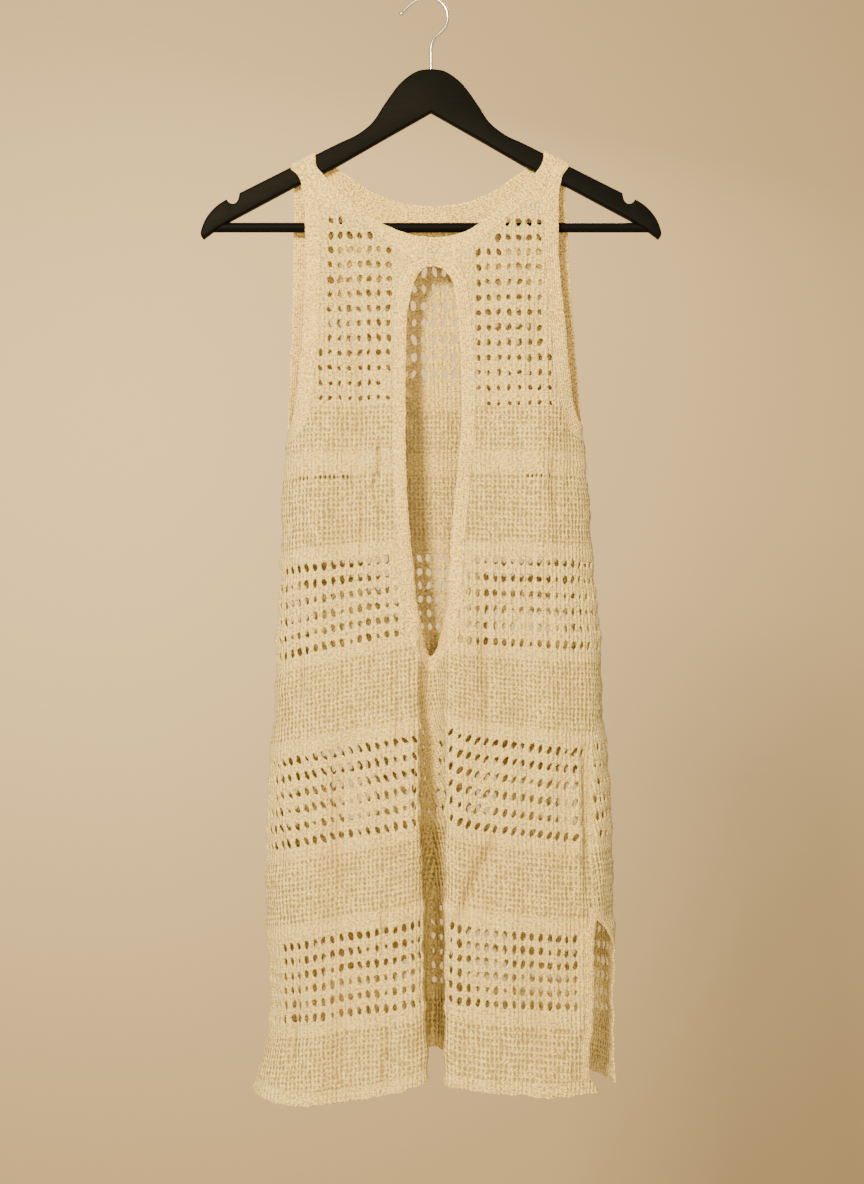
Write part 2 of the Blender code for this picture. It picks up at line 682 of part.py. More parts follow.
def add_object(name, data, material):
    """Link a new object under the garment's empty."""
    thing = bpy.data.objects.new(name, data)
    data.materials.append(material)
    bpy.context.scene.collection.objects.link(thing)
    thing.parent = bpy.data.objects["hang_point"]
    return thing


# ---------------------------------------------------------------- the garment's pieces
def cut_lines(side, outlines):
    """The lines that the front's and the back's pieces are cut along, in cloth coordinates."""
    head = SLIT_TOP - SLIT_BAND_HEAD
    slits = (outlines["slit_left"], outlines["slit_right"])
    hem_top = hem_line(side, outlines["hem"], slits, HEM_BAND)
    lines = {"neck": neck_line(side, outlines["neck"]), "hem_top": hem_top,
             "hem": hem_line(side, outlines["hem"], slits, 0)}
    for hand, edge, strap, underarm, inward, corner, before_corner in (
            ("left", side.left_edge, STRAP_LEFT, UNDERARM_LEFT, side.sign, 0, 1),
            ("right", side.right_edge, STRAP_RIGHT, UNDERARM_RIGHT, -side.sign, -1, -2)):
        seam = seam_turns("turn_" + hand)
        slit = outlines["slit_" + hand]
        slit_end = -hem_top[corner][1]
        under = edge_line(edge, seam, underarm, underarm + ARMHOLE_BAND)
        slit_inner = edge_line(edge, slit, head, slit_end - 8, inward * SLIT_BAND)
        lines["strap_" + hand] = strap_line(side, strap[1], outlines["strap_" + hand])
        lines["armhole_" + hand] = strap_line(side, strap[0], outlines["armhole_" + hand])
        lines["underarm_" + hand] = under
        lines["inner_" + hand] = cloth_line(side, outlines["inner_" + hand]) + under[-1:]
        lines["side_" + hand] = edge_line(edge, seam, underarm + ARMHOLE_BAND, head)
        lines["head_" + hand] = edge_line(edge, seam, head, SLIT_TOP)
        lines["slit_" + hand] = edge_line(edge, slit, SLIT_TOP, slit_end)
        lines["slit_inner_" + hand] = slit_inner + [hem_top[before_corner]]
    return lines


def panel_outline(lines, top):
    """The outline of a panel: its top from left to right, then down the right side and back."""
    return joined(*top, lines["inner_right"], lines["side_right"], lines["slit_inner_right"],
                  turned(lines["hem_top"][1:-1]), turned(lines["slit_inner_left"]),
                  turned(lines["side_left"]), turned(lines["inner_left"]))


def build_edge_bands(side, lines, material):
    """The armhole bands, slit bands and hem band of the front or the back."""
    for hand, strap in (("left", STRAP_LEFT), ("right", STRAP_RIGHT)):
        outline = joined(lines["armhole_" + hand], lines["underarm_" + hand],
                         turned(lines["inner_" + hand]), turned(lines["strap_" + hand]))
        knit_solid(side.name + "_armhole_band_" + hand, side, outline, material,
                   inner=strap_inner(side, strap[0], strap[1]))
        outline = joined(lines["head_" + hand], lines["slit_" + hand],
                         turned(lines["slit_inner_" + hand]))
        knit_solid(side.name + "_slit_band_" + hand, side, outline, material)
    outline = joined(lines["hem"], turned(lines["hem_top"]))
    knit_solid(side.name + "_hem_band", side, outline, material)


def build_front(knit, band):
    """The front: panel with eyelets, neckband, keyhole band and edge bands."""
    lines = cut_lines(FRONT, FRONT_OUTLINES)
    band_left = cloth_line(FRONT, FRONT_NECKBAND_LEFT)
    band_right = cloth_line(FRONT, FRONT_NECKBAND_RIGHT)
    arch = cloth_line(FRONT, FRONT_NECKBAND_ARCH, 8)
    keyhole = cloth_line(FRONT, KEYHOLE + KEYHOLE[:1], 9)[:-1]
    keyhole_band = cloth_line(FRONT, KEYHOLE_BAND)
    outline = joined(lines["neck"], lines["strap_right"], turned(band_right), turned(arch),
                     turned(band_left), turned(lines["strap_left"]))
    inner = strap_inner(FRONT, *STRAP_LEFT[1:]) + strap_inner(FRONT, *STRAP_RIGHT[1:])
    knit_solid("front_neckband", FRONT, outline, band, inner=inner)
    outline = joined(arch, turned(keyhole_band))
    knit_solid("keyhole_band", FRONT, outline, band, [keyhole])
    build_edge_bands(FRONT, lines, band)

    outline = panel_outline(lines, (band_left, keyhole_band, band_right))
    centres = []
    holes = eyelets(FRONT, FRONT_EYELETS_LEFT, outline, centres)
    holes += eyelets(FRONT, FRONT_EYELETS_RIGHT, outline, centres)
    inner = lattice(FRONT, FRONT_COLUMNS, FRONT_ROWS)
    inner = clear_of_eyelets(inner, centres)
    for drop in WELT_DROPS:
        inner += lattice(FRONT, WELT_COLUMNS, (drop - WELT_HALF, drop, drop + WELT_HALF))
    knit_solid("front_panel", FRONT, outline, knit, holes, inner, FREE_OF_EDGE, raised=True)
    return len(holes)


def build_back(knit, band):
    """The back: panel with eyelets, neckband and edge bands."""
    lines = cut_lines(BACK, BACK_OUTLINES)
    neckband = cloth_line(BACK, BACK_NECKBAND)
    outline = joined(lines["neck"], lines["strap_right"], turned(neckband),
                     turned(lines["strap_left"]))
    inner = strap_inner(BACK, *STRAP_LEFT[1:]) + strap_inner(BACK, *STRAP_RIGHT[1:])
    knit_solid("back_neckband", BACK, outline, band, inner=inner)
    build_edge_bands(BACK, lines, band)
    outline = panel_outline(lines, (neckband,))
    centres = []
    holes = eyelets(BACK, BACK_EYELETS, outline, centres)
    inner = clear_of_eyelets(lattice(BACK, BACK_COLUMNS, BACK_ROWS), centres)
    knit_solid("back_panel", BACK, outline, knit, holes, inner, FREE_OF_EDGE)
    return len(holes)


# ---------------------------------------------------------------- the hanger
def hanger_outline():
    """The hanger's outline, clockwise from the crown, as x and drop."""
    crown = [tuple(p) for p in even_curve(CROWN_CURVE, 9)]
    half = joined(crown, NOTCH_AND_TIP, UNDERSIDE)
    right = [(STEM_X + x, drop) for x, drop in half]
    left = [(STEM_X - x, drop) for x, drop in half[1:-1]]
    return right + left[::-1]


def build_hanger_arms(material):
    """The wooden body: its outline through its thickness, with chamfered edges."""
    outline = np.array([(x, -drop) for x, drop in hanger_outline()])
    face = inset(outline, ARM_CHAMFER)
    outline = inset(outline, 0)
    half = ARM_THICKNESS / 2
    rings = ((face, half), (outline, half - ARM_CHAMFER), (outline, ARM_CHAMFER - half),
             (face, -half))
    corners = [(x * MM, y * MM, z * MM) for ring_of_points, y in rings for x, z in ring_of_points]
    count = len(outline)
    faces = []
    for level in range(3):
        for k in range(count):
            after = (k + 1) % count
            first, second = level * count, (level + 1) * count
            faces.append((first + k, first + after, second + after, second + k))
    for triangle in triangulate(face, (), ())[1]:
        faces.append(tuple(triangle))
        faces.append(tuple(k + 3 * count for k in triangle[::-1]))
    mesh = bpy.data.meshes.new("hanger_arms")
    mesh.from_pydata(corners, [], faces)
    closed_outwards(mesh)
    return add_object("hanger_arms", mesh, material)


def underside_reach(drop):
    """How far from the stem the arm's underside lies at a drop."""
    line = sorted(((d, x) for x, d in UNDERSIDE + NOTCH_AND_TIP[-1:]))
    return float(np.interp(drop, [d for d, x in line], [x for d, x in line]))


def build_hanger_bar(material):
    """The round bar, its ends cut to the slope of the arms' undersides."""
    work = bmesh.new()
    slope_gap = TOUCH_GAP * 2
    ends = {}
    for hand in (-1, 1):
        ends[hand] = []
        for k in range(BAR_SIDES):
            angle = 2 * math.pi * k / BAR_SIDES
            drop = BAR_DROP + BAR_RADIUS * math.sin(angle)
            x = STEM_X + hand * (underside_reach(drop) - slope_gap)
            corner = (x * MM, BAR_RADIUS * math.cos(angle) * MM, -drop * MM)
            ends[hand].append(work.verts.new(corner))
    for k in range(BAR_SIDES):
        after = (k + 1) % BAR_SIDES
        work.faces.new((ends[-1][k], ends[-1][after], ends[1][after], ends[1][k]))
    for hand in (-1, 1):
        middle = np.mean([tuple(v.co) for v in ends[hand]], axis=0)
        cap = work.verts.new(tuple(middle))
        for k in range(BAR_SIDES):
            work.faces.new((ends[hand][k], ends[hand][(k + 1) % BAR_SIDES], cap))
    bmesh.ops.recalc_face_normals(work, faces=work.faces)
    mesh = bpy.data.meshes.new("hanger_bar")
    work.to_mesh(mesh)
    work.free()
    return add_object("hanger_bar", mesh, material)


def build_hanger_hook(material):
    """The wire hook, one bevelled curve that swells to a ball at its tip."""
    route = even_curve(HOOK_ROUTE, HOOK_STEP)
    tip = route[-1]
    ahead = (tip - route[-2]) / np.linalg.norm(tip - route[-2])
    stations = [(point, 1.0) for point in route[:-1]]
    for share in (-0.66, -0.35, 0.0, 0.45, 0.8, 0.97):
        radius = HOOK_BALL * math.sqrt(1 - share * share)
        stations.append((tip + ahead * share * HOOK_BALL, radius / HOOK_WIRE))
    curve = bpy.data.curves.new("hanger_hook", "CURVE")
    curve.dimensions = "3D"
    curve.bevel_depth = HOOK_WIRE * MM
    curve.bevel_resolution = 2
    curve.use_fill_caps = True
    spline = curve.splines.new("POLY")
    spline.points.add(len(stations) - 1)
    for point, (place, radius) in zip(spline.points, stations):
        point.co = (place[0] * MM, 0, -place[1] * MM, 1)
        point.radius = radius
    return add_object("hanger_hook", curve, material)


# ---------------------------------------------------------------- the whole
def build():
    """Build every solid of the tunic and its hanger."""
    clear_scene()
    hang_point = bpy.data.objects.new("hang_point", None)
    bpy.context.scene.collection.objects.link(hang_point)
    knit = plain_material("cotton_knit", KNIT_COLOUR, 0.9)
    band = plain_material("plain_knit_band", BAND_COLOUR, 0.9)
    wood = plain_material("black_wood", BLACK_WOOD, 0.45)
    chrome = plain_material("chromed_wire", CHROME, 0.2, 1.0)
    build_hanger_arms(wood)
    build_hanger_bar(wood)
    build_hanger_hook(chrome)
    cut = build_front(knit, band) + build_back(knit, band)
    print("eyelets cut:", cut)


build()
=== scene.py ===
import math

import bmesh
import bpy
import numpy as np
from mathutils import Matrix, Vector, kdtree
from mathutils.geometry import delaunay_2d_cdt


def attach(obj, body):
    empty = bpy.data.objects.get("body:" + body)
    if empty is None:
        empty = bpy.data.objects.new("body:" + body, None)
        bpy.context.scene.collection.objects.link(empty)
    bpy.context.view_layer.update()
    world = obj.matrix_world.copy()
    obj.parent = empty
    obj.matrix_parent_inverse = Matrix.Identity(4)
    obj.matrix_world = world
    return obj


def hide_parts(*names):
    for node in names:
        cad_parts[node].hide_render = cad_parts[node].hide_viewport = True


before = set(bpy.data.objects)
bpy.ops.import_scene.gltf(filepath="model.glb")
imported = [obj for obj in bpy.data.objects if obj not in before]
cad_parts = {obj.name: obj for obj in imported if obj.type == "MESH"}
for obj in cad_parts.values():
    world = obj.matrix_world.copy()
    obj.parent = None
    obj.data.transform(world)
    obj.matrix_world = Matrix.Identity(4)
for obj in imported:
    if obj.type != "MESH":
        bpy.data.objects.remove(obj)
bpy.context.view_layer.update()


# ---------------------------------------------------------------- the hanger's arms
# One flat piece of beech, sawn to the shape of a shoulder line with a swan-neck crown and a notch
# near each tip, its edges rounded over, sprayed with black satin lacquer.
MM = 0.001
STEM_X = 3.2
ARM_THICKNESS = 12.0
ARM_ROUNDING = 2.2
ROUNDING_STEPS = 4
CROWN_CURVE = ((0, 69), (13, 71), (29, 82), (45, 103), (57, 121), (72, 133), (90, 141.5), (111, 152))
ARM_END = (186.5, 190)
NOTCH_CURVE = ((186.5, 190), (188, 196.5), (191, 200), (195, 200), (197.5, 198.3), (199, 196))
TIP_CURVE = ((199, 196), (207, 201), (214, 207.5), (219.5, 215), (223, 223), (224.5, 230.5),
             (222, 234.5))
UNDERSIDE = ((210, 225.5), (194, 216), (136, 185), (91, 163), (45, 136.5), (0, 111))
SAME_POINT = 0.01
SHORTEST_MITRE = 0.35
SHARP_EDGE = math.radians(40)


def catmull_rom(points, closed=False, steps=8):
    """Points on a smooth curve through the given ones, with the given steps between two of them."""
    points = np.asarray(points, float)
    if closed:
        points = np.vstack((points[-1:], points, points[:2]))
    else:
        points = np.vstack((2 * points[0] - points[1], points, 2 * points[-1] - points[-2]))
    a, b, c, d = (points[k:len(points) - 3 + k, None] for k in range(4))
    k1 = np.linalg.norm(b - a, axis=2, keepdims=True) ** 0.5
    k2 = np.linalg.norm(c - b, axis=2, keepdims=True) ** 0.5
    k3 = np.linalg.norm(d - c, axis=2, keepdims=True) ** 0.5
    start = k2 * ((b - a) / k1 - (c - a) / (k1 + k2) + (c - b) / k2)
    end = k2 * ((c - b) / k2 - (d - b) / (k2 + k3) + (d - c) / k3)
    t = np.linspace(0, 1, steps, endpoint=False)[None, :, None]
    curve = ((2 * t ** 3 - 3 * t ** 2 + 1) * b + (t ** 3 - 2 * t ** 2 + t) * start
             + (3 * t ** 2 - 2 * t ** 3) * c + (t ** 3 - t ** 2) * end)
    return np.vstack((curve.reshape(-1, 2), points[1] if closed else points[-2]))


def length_along(points):
    """How far along a line each of its points lies."""
    return np.concatenate(([0], np.cumsum(np.linalg.norm(np.diff(points, axis=0), axis=1))))


def resample(points, step):
    """The same line with its points about a step apart, and its ends kept."""
    points = np.asarray(points, float)
    along = length_along(points)
    places = np.linspace(0, along[-1], max(2, int(round(along[-1] / step)) + 1))
    return np.column_stack([np.interp(places, along, points[:, k]) for k in (0, 1)])


def even_curve(points, step):
    """Points about a step apart on a smooth curve through the given ones."""
    return resample(catmull_rom(points, steps=12), step)


def joined(*lines):
    """One closed outline from lines that follow each other, with no point twice."""
    outline = []
    for line in lines:
        for point in line:
            if not outline or math.dist(point, outline[-1]) > SAME_POINT:
                outline.append((float(point[0]), float(point[1])))
    if math.dist(outline[0], outline[-1]) < SAME_POINT:
        outline.pop()
    return np.array(outline)


def signed_area(loop):
    """Area of a closed outline, positive when it runs anticlockwise."""
    after = np.roll(loop, -1, axis=0)
    return 0.5 * float(np.sum(loop[:, 0] * after[:, 1] - after[:, 0] * loop[:, 1]))


def unit(directions):
    """The same directions, each with a length of one."""
    return directions / np.linalg.norm(directions, axis=1, keepdims=True)


def turned_left(directions):
    """Directions in the plane, each turned a quarter to the left."""
    return np.column_stack((-directions[:, 1], directions[:, 0]))


def inset(loop, distance):
    """A closed outline moved inwards by a distance, running anticlockwise."""
    loop = loop if signed_area(loop) > 0 else loop[::-1]
    first = turned_left(unit(loop - np.roll(loop, 1, axis=0)))
    second = turned_left(unit(np.roll(loop, -1, axis=0) - loop))
    stretch = np.maximum(1 + np.sum(first * second, axis=1), SHORTEST_MITRE)
    return loop + (first + second) * (distance / stretch)[:, None]


def new_object(name, data):
    """A new object in the scene, made of its data."""
    made = bpy.data.objects.new(name, data)
    bpy.context.scene.collection.objects.link(made)
    return made


def add_piece(name, replaced, data, material):
    """A new piece with its material, riding on the part's one body in place of its solid."""
    data.materials.append(material)
    piece = new_object(name, data)
    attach(piece, "root")
    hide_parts(replaced)
    return piece


def wooden_mesh(name, corners, faces):
    """A closed mesh in the hanger's sizes, smooth but for its cut edges."""
    mesh = bpy.data.meshes.new(name)
    mesh.from_pydata([(x * MM, y * MM, z * MM) for x, y, z in corners], [], faces)
    work = bmesh.new()
    work.from_mesh(mesh)
    bmesh.ops.recalc_face_normals(work, faces=work.faces)
    work.to_mesh(mesh)
    work.free()
    mesh.shade_smooth()
    mesh.set_sharp_from_angle(angle=SHARP_EDGE)
    return mesh


def new_material(name, roughness, sockets=()):
    """A material with its Principled shader, and the sockets that are set to one value."""
    material = bpy.data.materials.new(name)
    material.use_nodes = True
    shader = material.node_tree.nodes["Principled BSDF"]
    shader.inputs["Roughness"].default_value = roughness
    for socket, value in sockets:
        shader.inputs[socket].default_value = value
    return material, material.node_tree, shader


def node(tree, kind, settings=(), inputs=()):
    """A new node with its settings, and its inputs as values or linked from other sockets."""
    made = tree.nodes.new(kind)
    for name, value in settings:
        setattr(made, name, value)
    for name, value in inputs:
        if isinstance(value, bpy.types.NodeSocket):
            tree.links.new(value, made.inputs[name])
        else:
            made.inputs[name].default_value = value
    return made


def maths(tree, operation, *values):
    """The result of a Math node on values or sockets."""
    return node(tree, "ShaderNodeMath", [("operation", operation)], enumerate(values)).outputs[0]


def vector_maths(tree, operation, inputs):
    """The result of a Vector Math node on values or sockets, given by their place."""
    return node(tree, "ShaderNodeVectorMath", [("operation", operation)], inputs).outputs[0]


def colour_between(tree, factor, first, second):
    """A colour between two, by a factor from 0 to 1."""
    inputs = ((0, factor), (6, first), (7, second))
    return node(tree, "ShaderNodeMix", [("data_type", "RGBA")], inputs).outputs[2]


def noise(tree, scale, detail, inputs=(), flat=False):
    """A Noise Texture node, in the plane of the cloth where it is flat."""
    return node(tree, "ShaderNodeTexNoise", [("noise_dimensions", "2D" if flat else "3D")],
                [("Scale", scale), ("Detail", detail), *inputs])


def feed(target, **sockets):
    """Link sockets to the inputs of a node that have their names, with _ for a space."""
    for name, socket in sockets.items():
        target.id_data.links.new(socket, target.inputs[name.replace("_", " ")])


def add_bump(tree, shader, height, distance, strength=1.0):
    """Raise a material's surface by a height."""
    bump = node(tree, "ShaderNodeBump", inputs=[
        ("Strength", strength), ("Distance", distance), ("Height", height)])
    feed(shader, Normal=bump.outputs[0])


def new_group(name, inputs, outputs):
    """An empty shader node group with named sockets: its tree, input and output nodes."""
    tree = bpy.data.node_groups.new(name, "ShaderNodeTree")
    for socket, kind, value in inputs:
        made = tree.interface.new_socket(socket, in_out="INPUT", socket_type="NodeSocket" + kind)
        if value is not None:
            made.default_value = value
    for socket, kind in outputs:
        tree.interface.new_socket(socket, in_out="OUTPUT", socket_type="NodeSocket" + kind)
    return tree, tree.nodes.new("NodeGroupInput"), tree.nodes.new("NodeGroupOutput")


# Lacquer over close-grained wood: a faint grain along the arm that shows in the sheen, and a slight
# orange peel. The arms and the bar share it.
lacquer, given, made = new_group(
    "lacquer_over_wood", [("Grain", "Float", 0.3)], [("Roughness", "Float"), ("Height", "Float")])
place = lacquer.nodes.new("ShaderNodeTexCoord").outputs["Object"]
along_grain = node(lacquer, "ShaderNodeMapping", inputs=[("Vector", place), ("Scale", (30, 400, 400))])
grain = noise(lacquer, 1.0, 4.0, [("Vector", along_grain.outputs[0])]).outputs["Fac"]
peel = noise(lacquer, 900.0, 1.0, [("Vector", place)]).outputs["Fac"]
graining = maths(lacquer, "MULTIPLY", grain, given.outputs["Grain"])
feed(made, Roughness=maths(lacquer, "MULTIPLY_ADD", graining, 0.25, 0.42),
     Height=maths(lacquer, "MULTIPLY_ADD", peel, 0.3, graining))

black_lacquer, tree, shader = new_material("black_lacquer", 0.5, [("Specular IOR Level", 0.015)])
coat = node(tree, "ShaderNodeGroup", [("node_tree", lacquer)], [("Grain", 0.35)])
add_bump(tree, shader, coat.outputs["Height"], 0.0002, 0.25)
dust = noise(tree, 45.0, 3.0).outputs["Fac"]
feed(shader, Roughness=coat.outputs["Roughness"],
     Base_Color=colour_between(tree, dust, (0.002, 0.0025, 0.003, 1), (0.004, 0.0045, 0.005, 1)))


def hanger_outline():
    """The arms' outline, anticlockwise, as x and height."""
    half = joined(even_curve(CROWN_CURVE, 4), (ARM_END,), even_curve(NOTCH_CURVE, 1.6),
                  even_curve(TIP_CURVE, 3), UNDERSIDE)
    right = [(STEM_X + x, -drop) for x, drop in half]
    left = [(STEM_X - x, -drop) for x, drop in half[1:-1]]
    return inset(np.array(right + left[::-1]), 0)


# The outline steps round the rounded edge from one face to the other, and each face is filled flat.
outline = hanger_outline()
rings = []
for angle in np.linspace(math.pi / 2, 0, ROUNDING_STEPS + 1):
    rings.append((inset(outline, ARM_ROUNDING * (1 - math.cos(angle))),
                  ARM_THICKNESS / 2 - ARM_ROUNDING * (1 - math.sin(angle))))
rings += [(loop, -y) for loop, y in rings[::-1]]
count = len(outline)
faces = []
for level in range(len(rings) - 1):
    for k in range(count):
        after = (k + 1) % count
        faces.append((level * count + k, level * count + after,
                      (level + 1) * count + after, (level + 1) * count + k))
flat_face = delaunay_2d_cdt([Vector(p) for p in rings[0][0]], [], [list(range(count))], 1, 1e-6)
for triangle in flat_face[2]:
    first = [flat_face[3][k][0] for k in triangle]
    faces.append(tuple(first))
    faces.append(tuple(k + (len(rings) - 1) * count for k in first[::-1]))
mesh = wooden_mesh("hanger_arms_lacquered", [(x, y, z) for loop, y in rings for x, z in loop], faces)
add_piece("hanger_arms_lacquered", "hanger_arms", mesh, black_lacquer)


# ---------------------------------------------------------------- the trouser bar
# A turned dowel glued between the arms' ends and sprayed with them, its ends cut to the slope of
# the arms' undersides.
BAR_RADIUS = 4.75
BAR_DROP = 223.0
BAR_SIDES = 40
BAR_END_GAP = 0.6


def underside_reach(drop):
    """How far from the stem the arm's underside lies at a drop."""
    line = sorted((d, x) for x, d in UNDERSIDE + TIP_CURVE[-1:])
    return float(np.interp(drop, [d for d, x in line], [x for d, x in line]))


corners = []
for hand in (-1, 1):
    for angle in np.linspace(0, 2 * math.pi, BAR_SIDES, endpoint=False):
        drop = BAR_DROP + BAR_RADIUS * math.sin(angle)
        x = STEM_X + hand * (underside_reach(drop) - BAR_END_GAP)
        corners.append((x, BAR_RADIUS * math.cos(angle), -drop))
faces = [tuple(range(BAR_SIDES)), tuple(range(BAR_SIDES, 2 * BAR_SIDES))]
for k in range(BAR_SIDES):
    after = (k + 1) % BAR_SIDES
    faces.append((k, after, BAR_SIDES + after, BAR_SIDES + k))
mesh = wooden_mesh("hanger_bar_lacquered", corners, faces)
add_piece("hanger_bar_lacquered", "hanger_bar", mesh, black_lacquer)


# ---------------------------------------------------------------- the wire hook
# Steel wire about 3 mm thick, bent to a question mark, its tip upset to a small ball and the whole
# chromed. It screws into the crown.
HOOK_WIRE = 1.6
HOOK_BALL = 2.2
HOOK_ROUTE = ((3.2, 68.7), (3.2, 57), (3.4, 46.5), (6.5, 38), (12, 33), (17, 27.5), (19.5, 19),
              (18, 9.5), (12, 2.3), (3, -1.5), (-5, -1.2), (-13, 2.3), (-20, 8), (-25.7, 14.1))
BALL_STATIONS = (-0.66, -0.4, -0.1, 0.2, 0.5, 0.75, 0.9, 0.99)

chrome, tree, shader = new_material("chromed_wire", 0.2, [("Metallic", 1.0)])
smear = noise(tree, 160.0, 3.0).outputs["Fac"]
feed(shader, Roughness=maths(tree, "MULTIPLY_ADD", smear, 0.2, 0.12),
     Base_Color=colour_between(tree, smear, (0.60, 0.59, 0.57, 1), (0.74, 0.73, 0.71, 1)))

# The wire's thickness swells to the ball over the last stations of its route.
route = even_curve(HOOK_ROUTE, 2.0)
tip = route[-1]
ahead = (tip - route[-2]) / np.linalg.norm(tip - route[-2])
stations = [(point, 1.0) for point in route[:-1]]
for share in BALL_STATIONS:
    stations.append((tip + ahead * share * HOOK_BALL,
                     HOOK_BALL * math.sqrt(1 - share * share) / HOOK_WIRE))
curve = bpy.data.curves.new("hanger_hook_wire", "CURVE")
curve.dimensions = "3D"
curve.bevel_depth = HOOK_WIRE * MM
curve.bevel_resolution = 6
curve.use_fill_caps = True
spline = curve.splines.new("POLY")
spline.points.add(len(stations) - 1)
for point, (place, radius) in zip(spline.points, stations):
    point.co = (place[0] * MM, 0, -place[1] * MM, 1)
    point.radius = radius
add_piece("hanger_hook_wire", "hanger_hook", curve, chrome)


# ---------------------------------------------------------------- the front panel
# Openwork in mid-weight cotton, knit in one piece: rows of eyelets across the yoke, then bands of
# eyelets between bands of waffle, with a plain course that stands proud above each. It hangs from
# the straps with its middle folded deep into the garment.
RING_COLUMNS = ("drop", "left", "right", "front_left", "front_right", "back", "fold_left",
                "fold_right", "fold_depth", "crease_left", "crease_right", "back_fold",
                "turn_left", "turn_right")
RING_ROWS = (
    (148, -158, 165, 11, 11, 11, -24, 31, 0, 0, 0, 0, 0, 0),
    (197, -158, 163, 14, 14, 15, -24, 31, 0, 0, 0, 0, 0, 0),
    (247, -154, 160, 19, 19, 20, -24, 32, 0, 0, 0, 0, 0, 0),
    (315, -147, 158, 26, 26, 26, -24, 32, 0, 1, 0, 0, 0, 0),
    (374, -141, 155, 31, 31, 30, -24, 32, 2, 3, 1, 1, 0, 0),
    (422, -136, 151, 35, 35, 34, -23, 31, 4, 3, 2, 2, 0, 0),
    (480, -141, 156, 38, 38, 37, -22, 29, 8, 2, 3, 3, 0, 0),
    (548, -142, 160, 40, 41, 41, -17, 25, 12, 1, 6, 4, 0, 0),
    (625, -147, 168, 43, 45, 46, -10, 20, 20, 1, 8, 5, 0, 0),
    (683, -148, 169, 46, 48, 51, -9, 18, 27, 1, 7, 6, 5, 14),
    (740, -153, 175, 49, 52, 56, -9, 18, 50, 2, 5, 7, 9, 38),
    (807, -156, 179, 52, 56, 61, -8, 18, 76, 3, 4, 8, 12, 44),
    (874, -157, 180, 55, 60, 66, -5, 18, 90, 5, 4, 9, 12, 44),
    (932, -155, 182, 57, 62, 70, -5, 18, 96, 6, 4, 10, 12, 44),
    (989, -153, 182, 59, 63, 73, -3, 18, 98, 6, 5, 11, 12, 44),
    (1032, -160, 182, 60, 64, 75, -1, 17, 98, 7, 6, 12, 12, 44),
    (1072, -174, 185, 61, 65, 76, 1, 17, 98, 7, 6, 12, 12, 44),
)
# Places round one half of the front, from the side to the fold: shares of the width, of the depth and
# of the crease. The fold's own are shares of its half width and of its depth, first where it lies
# flat, then where it is deep, with how far each moves towards the side and outwards.
HALF_FRONT = ((0.0, 0.0, 0), (0.05, 0.40, 0), (0.15, 0.70, 0), (0.33, 0.94, 0), (0.56, 1.0, 1),
              (0.80, 1.0, 0))
FOLD_FLAT = ((1.25, 0.0), (0.95, 0.05), (0.70, 0.25), (0.45, 0.65), (0.20, 0.95))
FOLD_DEEP = ((1.0, 0.0, 8, 0), (1.0, 0.0, 0, 7), (1.0, 0.5, 4, 0), (1.0, 1.0, 1, -9),
             (0.45, 1.0, 0, 0))
FULLY_FOLDED = 60
# Places across the back, from left to right: shares of the width, of the depth and of the folds.
BACK_SECTION = ((0.035, 0.50, 0), (0.13, 0.90, 0.4), (0.25, 1.0, -1), (0.37, 1.0, 1),
                (0.5, 1.0, -1), (0.63, 1.0, 1), (0.75, 1.0, -1), (0.87, 0.90, 0.4),
                (0.965, 0.50, 0))
# The front's places count from the right side to the left one, and the back's go on from there.
STEPS_PER_PLACE = 8
ROW_STEP = 4.0
RIGHT_SIDE = 0
CENTRE = len(HALF_FRONT) + len(FOLD_FLAT) - 0.5
LEFT_SIDE = 2 * CENTRE
BACK_CENTRE = LEFT_SIDE + (len(BACK_SECTION) + 1) / 2
PLACES = int(LEFT_SIDE) + 1 + len(BACK_SECTION)
FOLD_RIGHT = len(HALF_FRONT) + 1
FOLD_LEFT = int(LEFT_SIDE) - FOLD_RIGHT
MID_RIGHT = 4
MID_LEFT = int(LEFT_SIDE) - MID_RIGHT


def smooth(x, places, values):
    """Height at x of a smooth curve through the given places and values, or of several at once."""
    places = np.asarray(places, float)
    values = np.asarray(values, float)
    x = min(max(x, places[0]), places[-1])
    slopes = np.gradient(values, places, axis=0)
    i = min(max(int(np.searchsorted(places, x)) - 1, 0), len(places) - 2)
    width = places[i + 1] - places[i]
    t = (x - places[i]) / width
    start = (2 * t ** 3 - 3 * t ** 2 + 1) * values[i] + (t ** 3 - 2 * t ** 2 + t) * width * slopes[i]
    end = (3 * t ** 2 - 2 * t ** 3) * values[i + 1] + (t ** 3 - t ** 2) * width * slopes[i + 1]
    return start + end


def half_front(side, width, depth, crease, centre, half_gap, fold_depth):
    """Places from one side of the front to the floor of its centre fold; side is 1 or -1."""
    folded = min(1.0, fold_depth / FULLY_FOLDED)
    edge = centre + side * (half_gap + width)
    places = [(edge - side * share * width, -depth * out + crease * dip)
              for share, out, dip in HALF_FRONT]
    for flat, deep in zip(FOLD_FLAT, FOLD_DEEP):
        flat_x, flat_y = flat[0] * half_gap, flat[1] * fold_depth
        deep_x, deep_y = deep[0] * half_gap + deep[2], deep[1] * fold_depth + deep[3]
        x = flat_x + (deep_x - flat_x) * folded
        y = flat_y + (deep_y - flat_y) * folded
        places.append((centre + side * x, -depth + y))
    return places


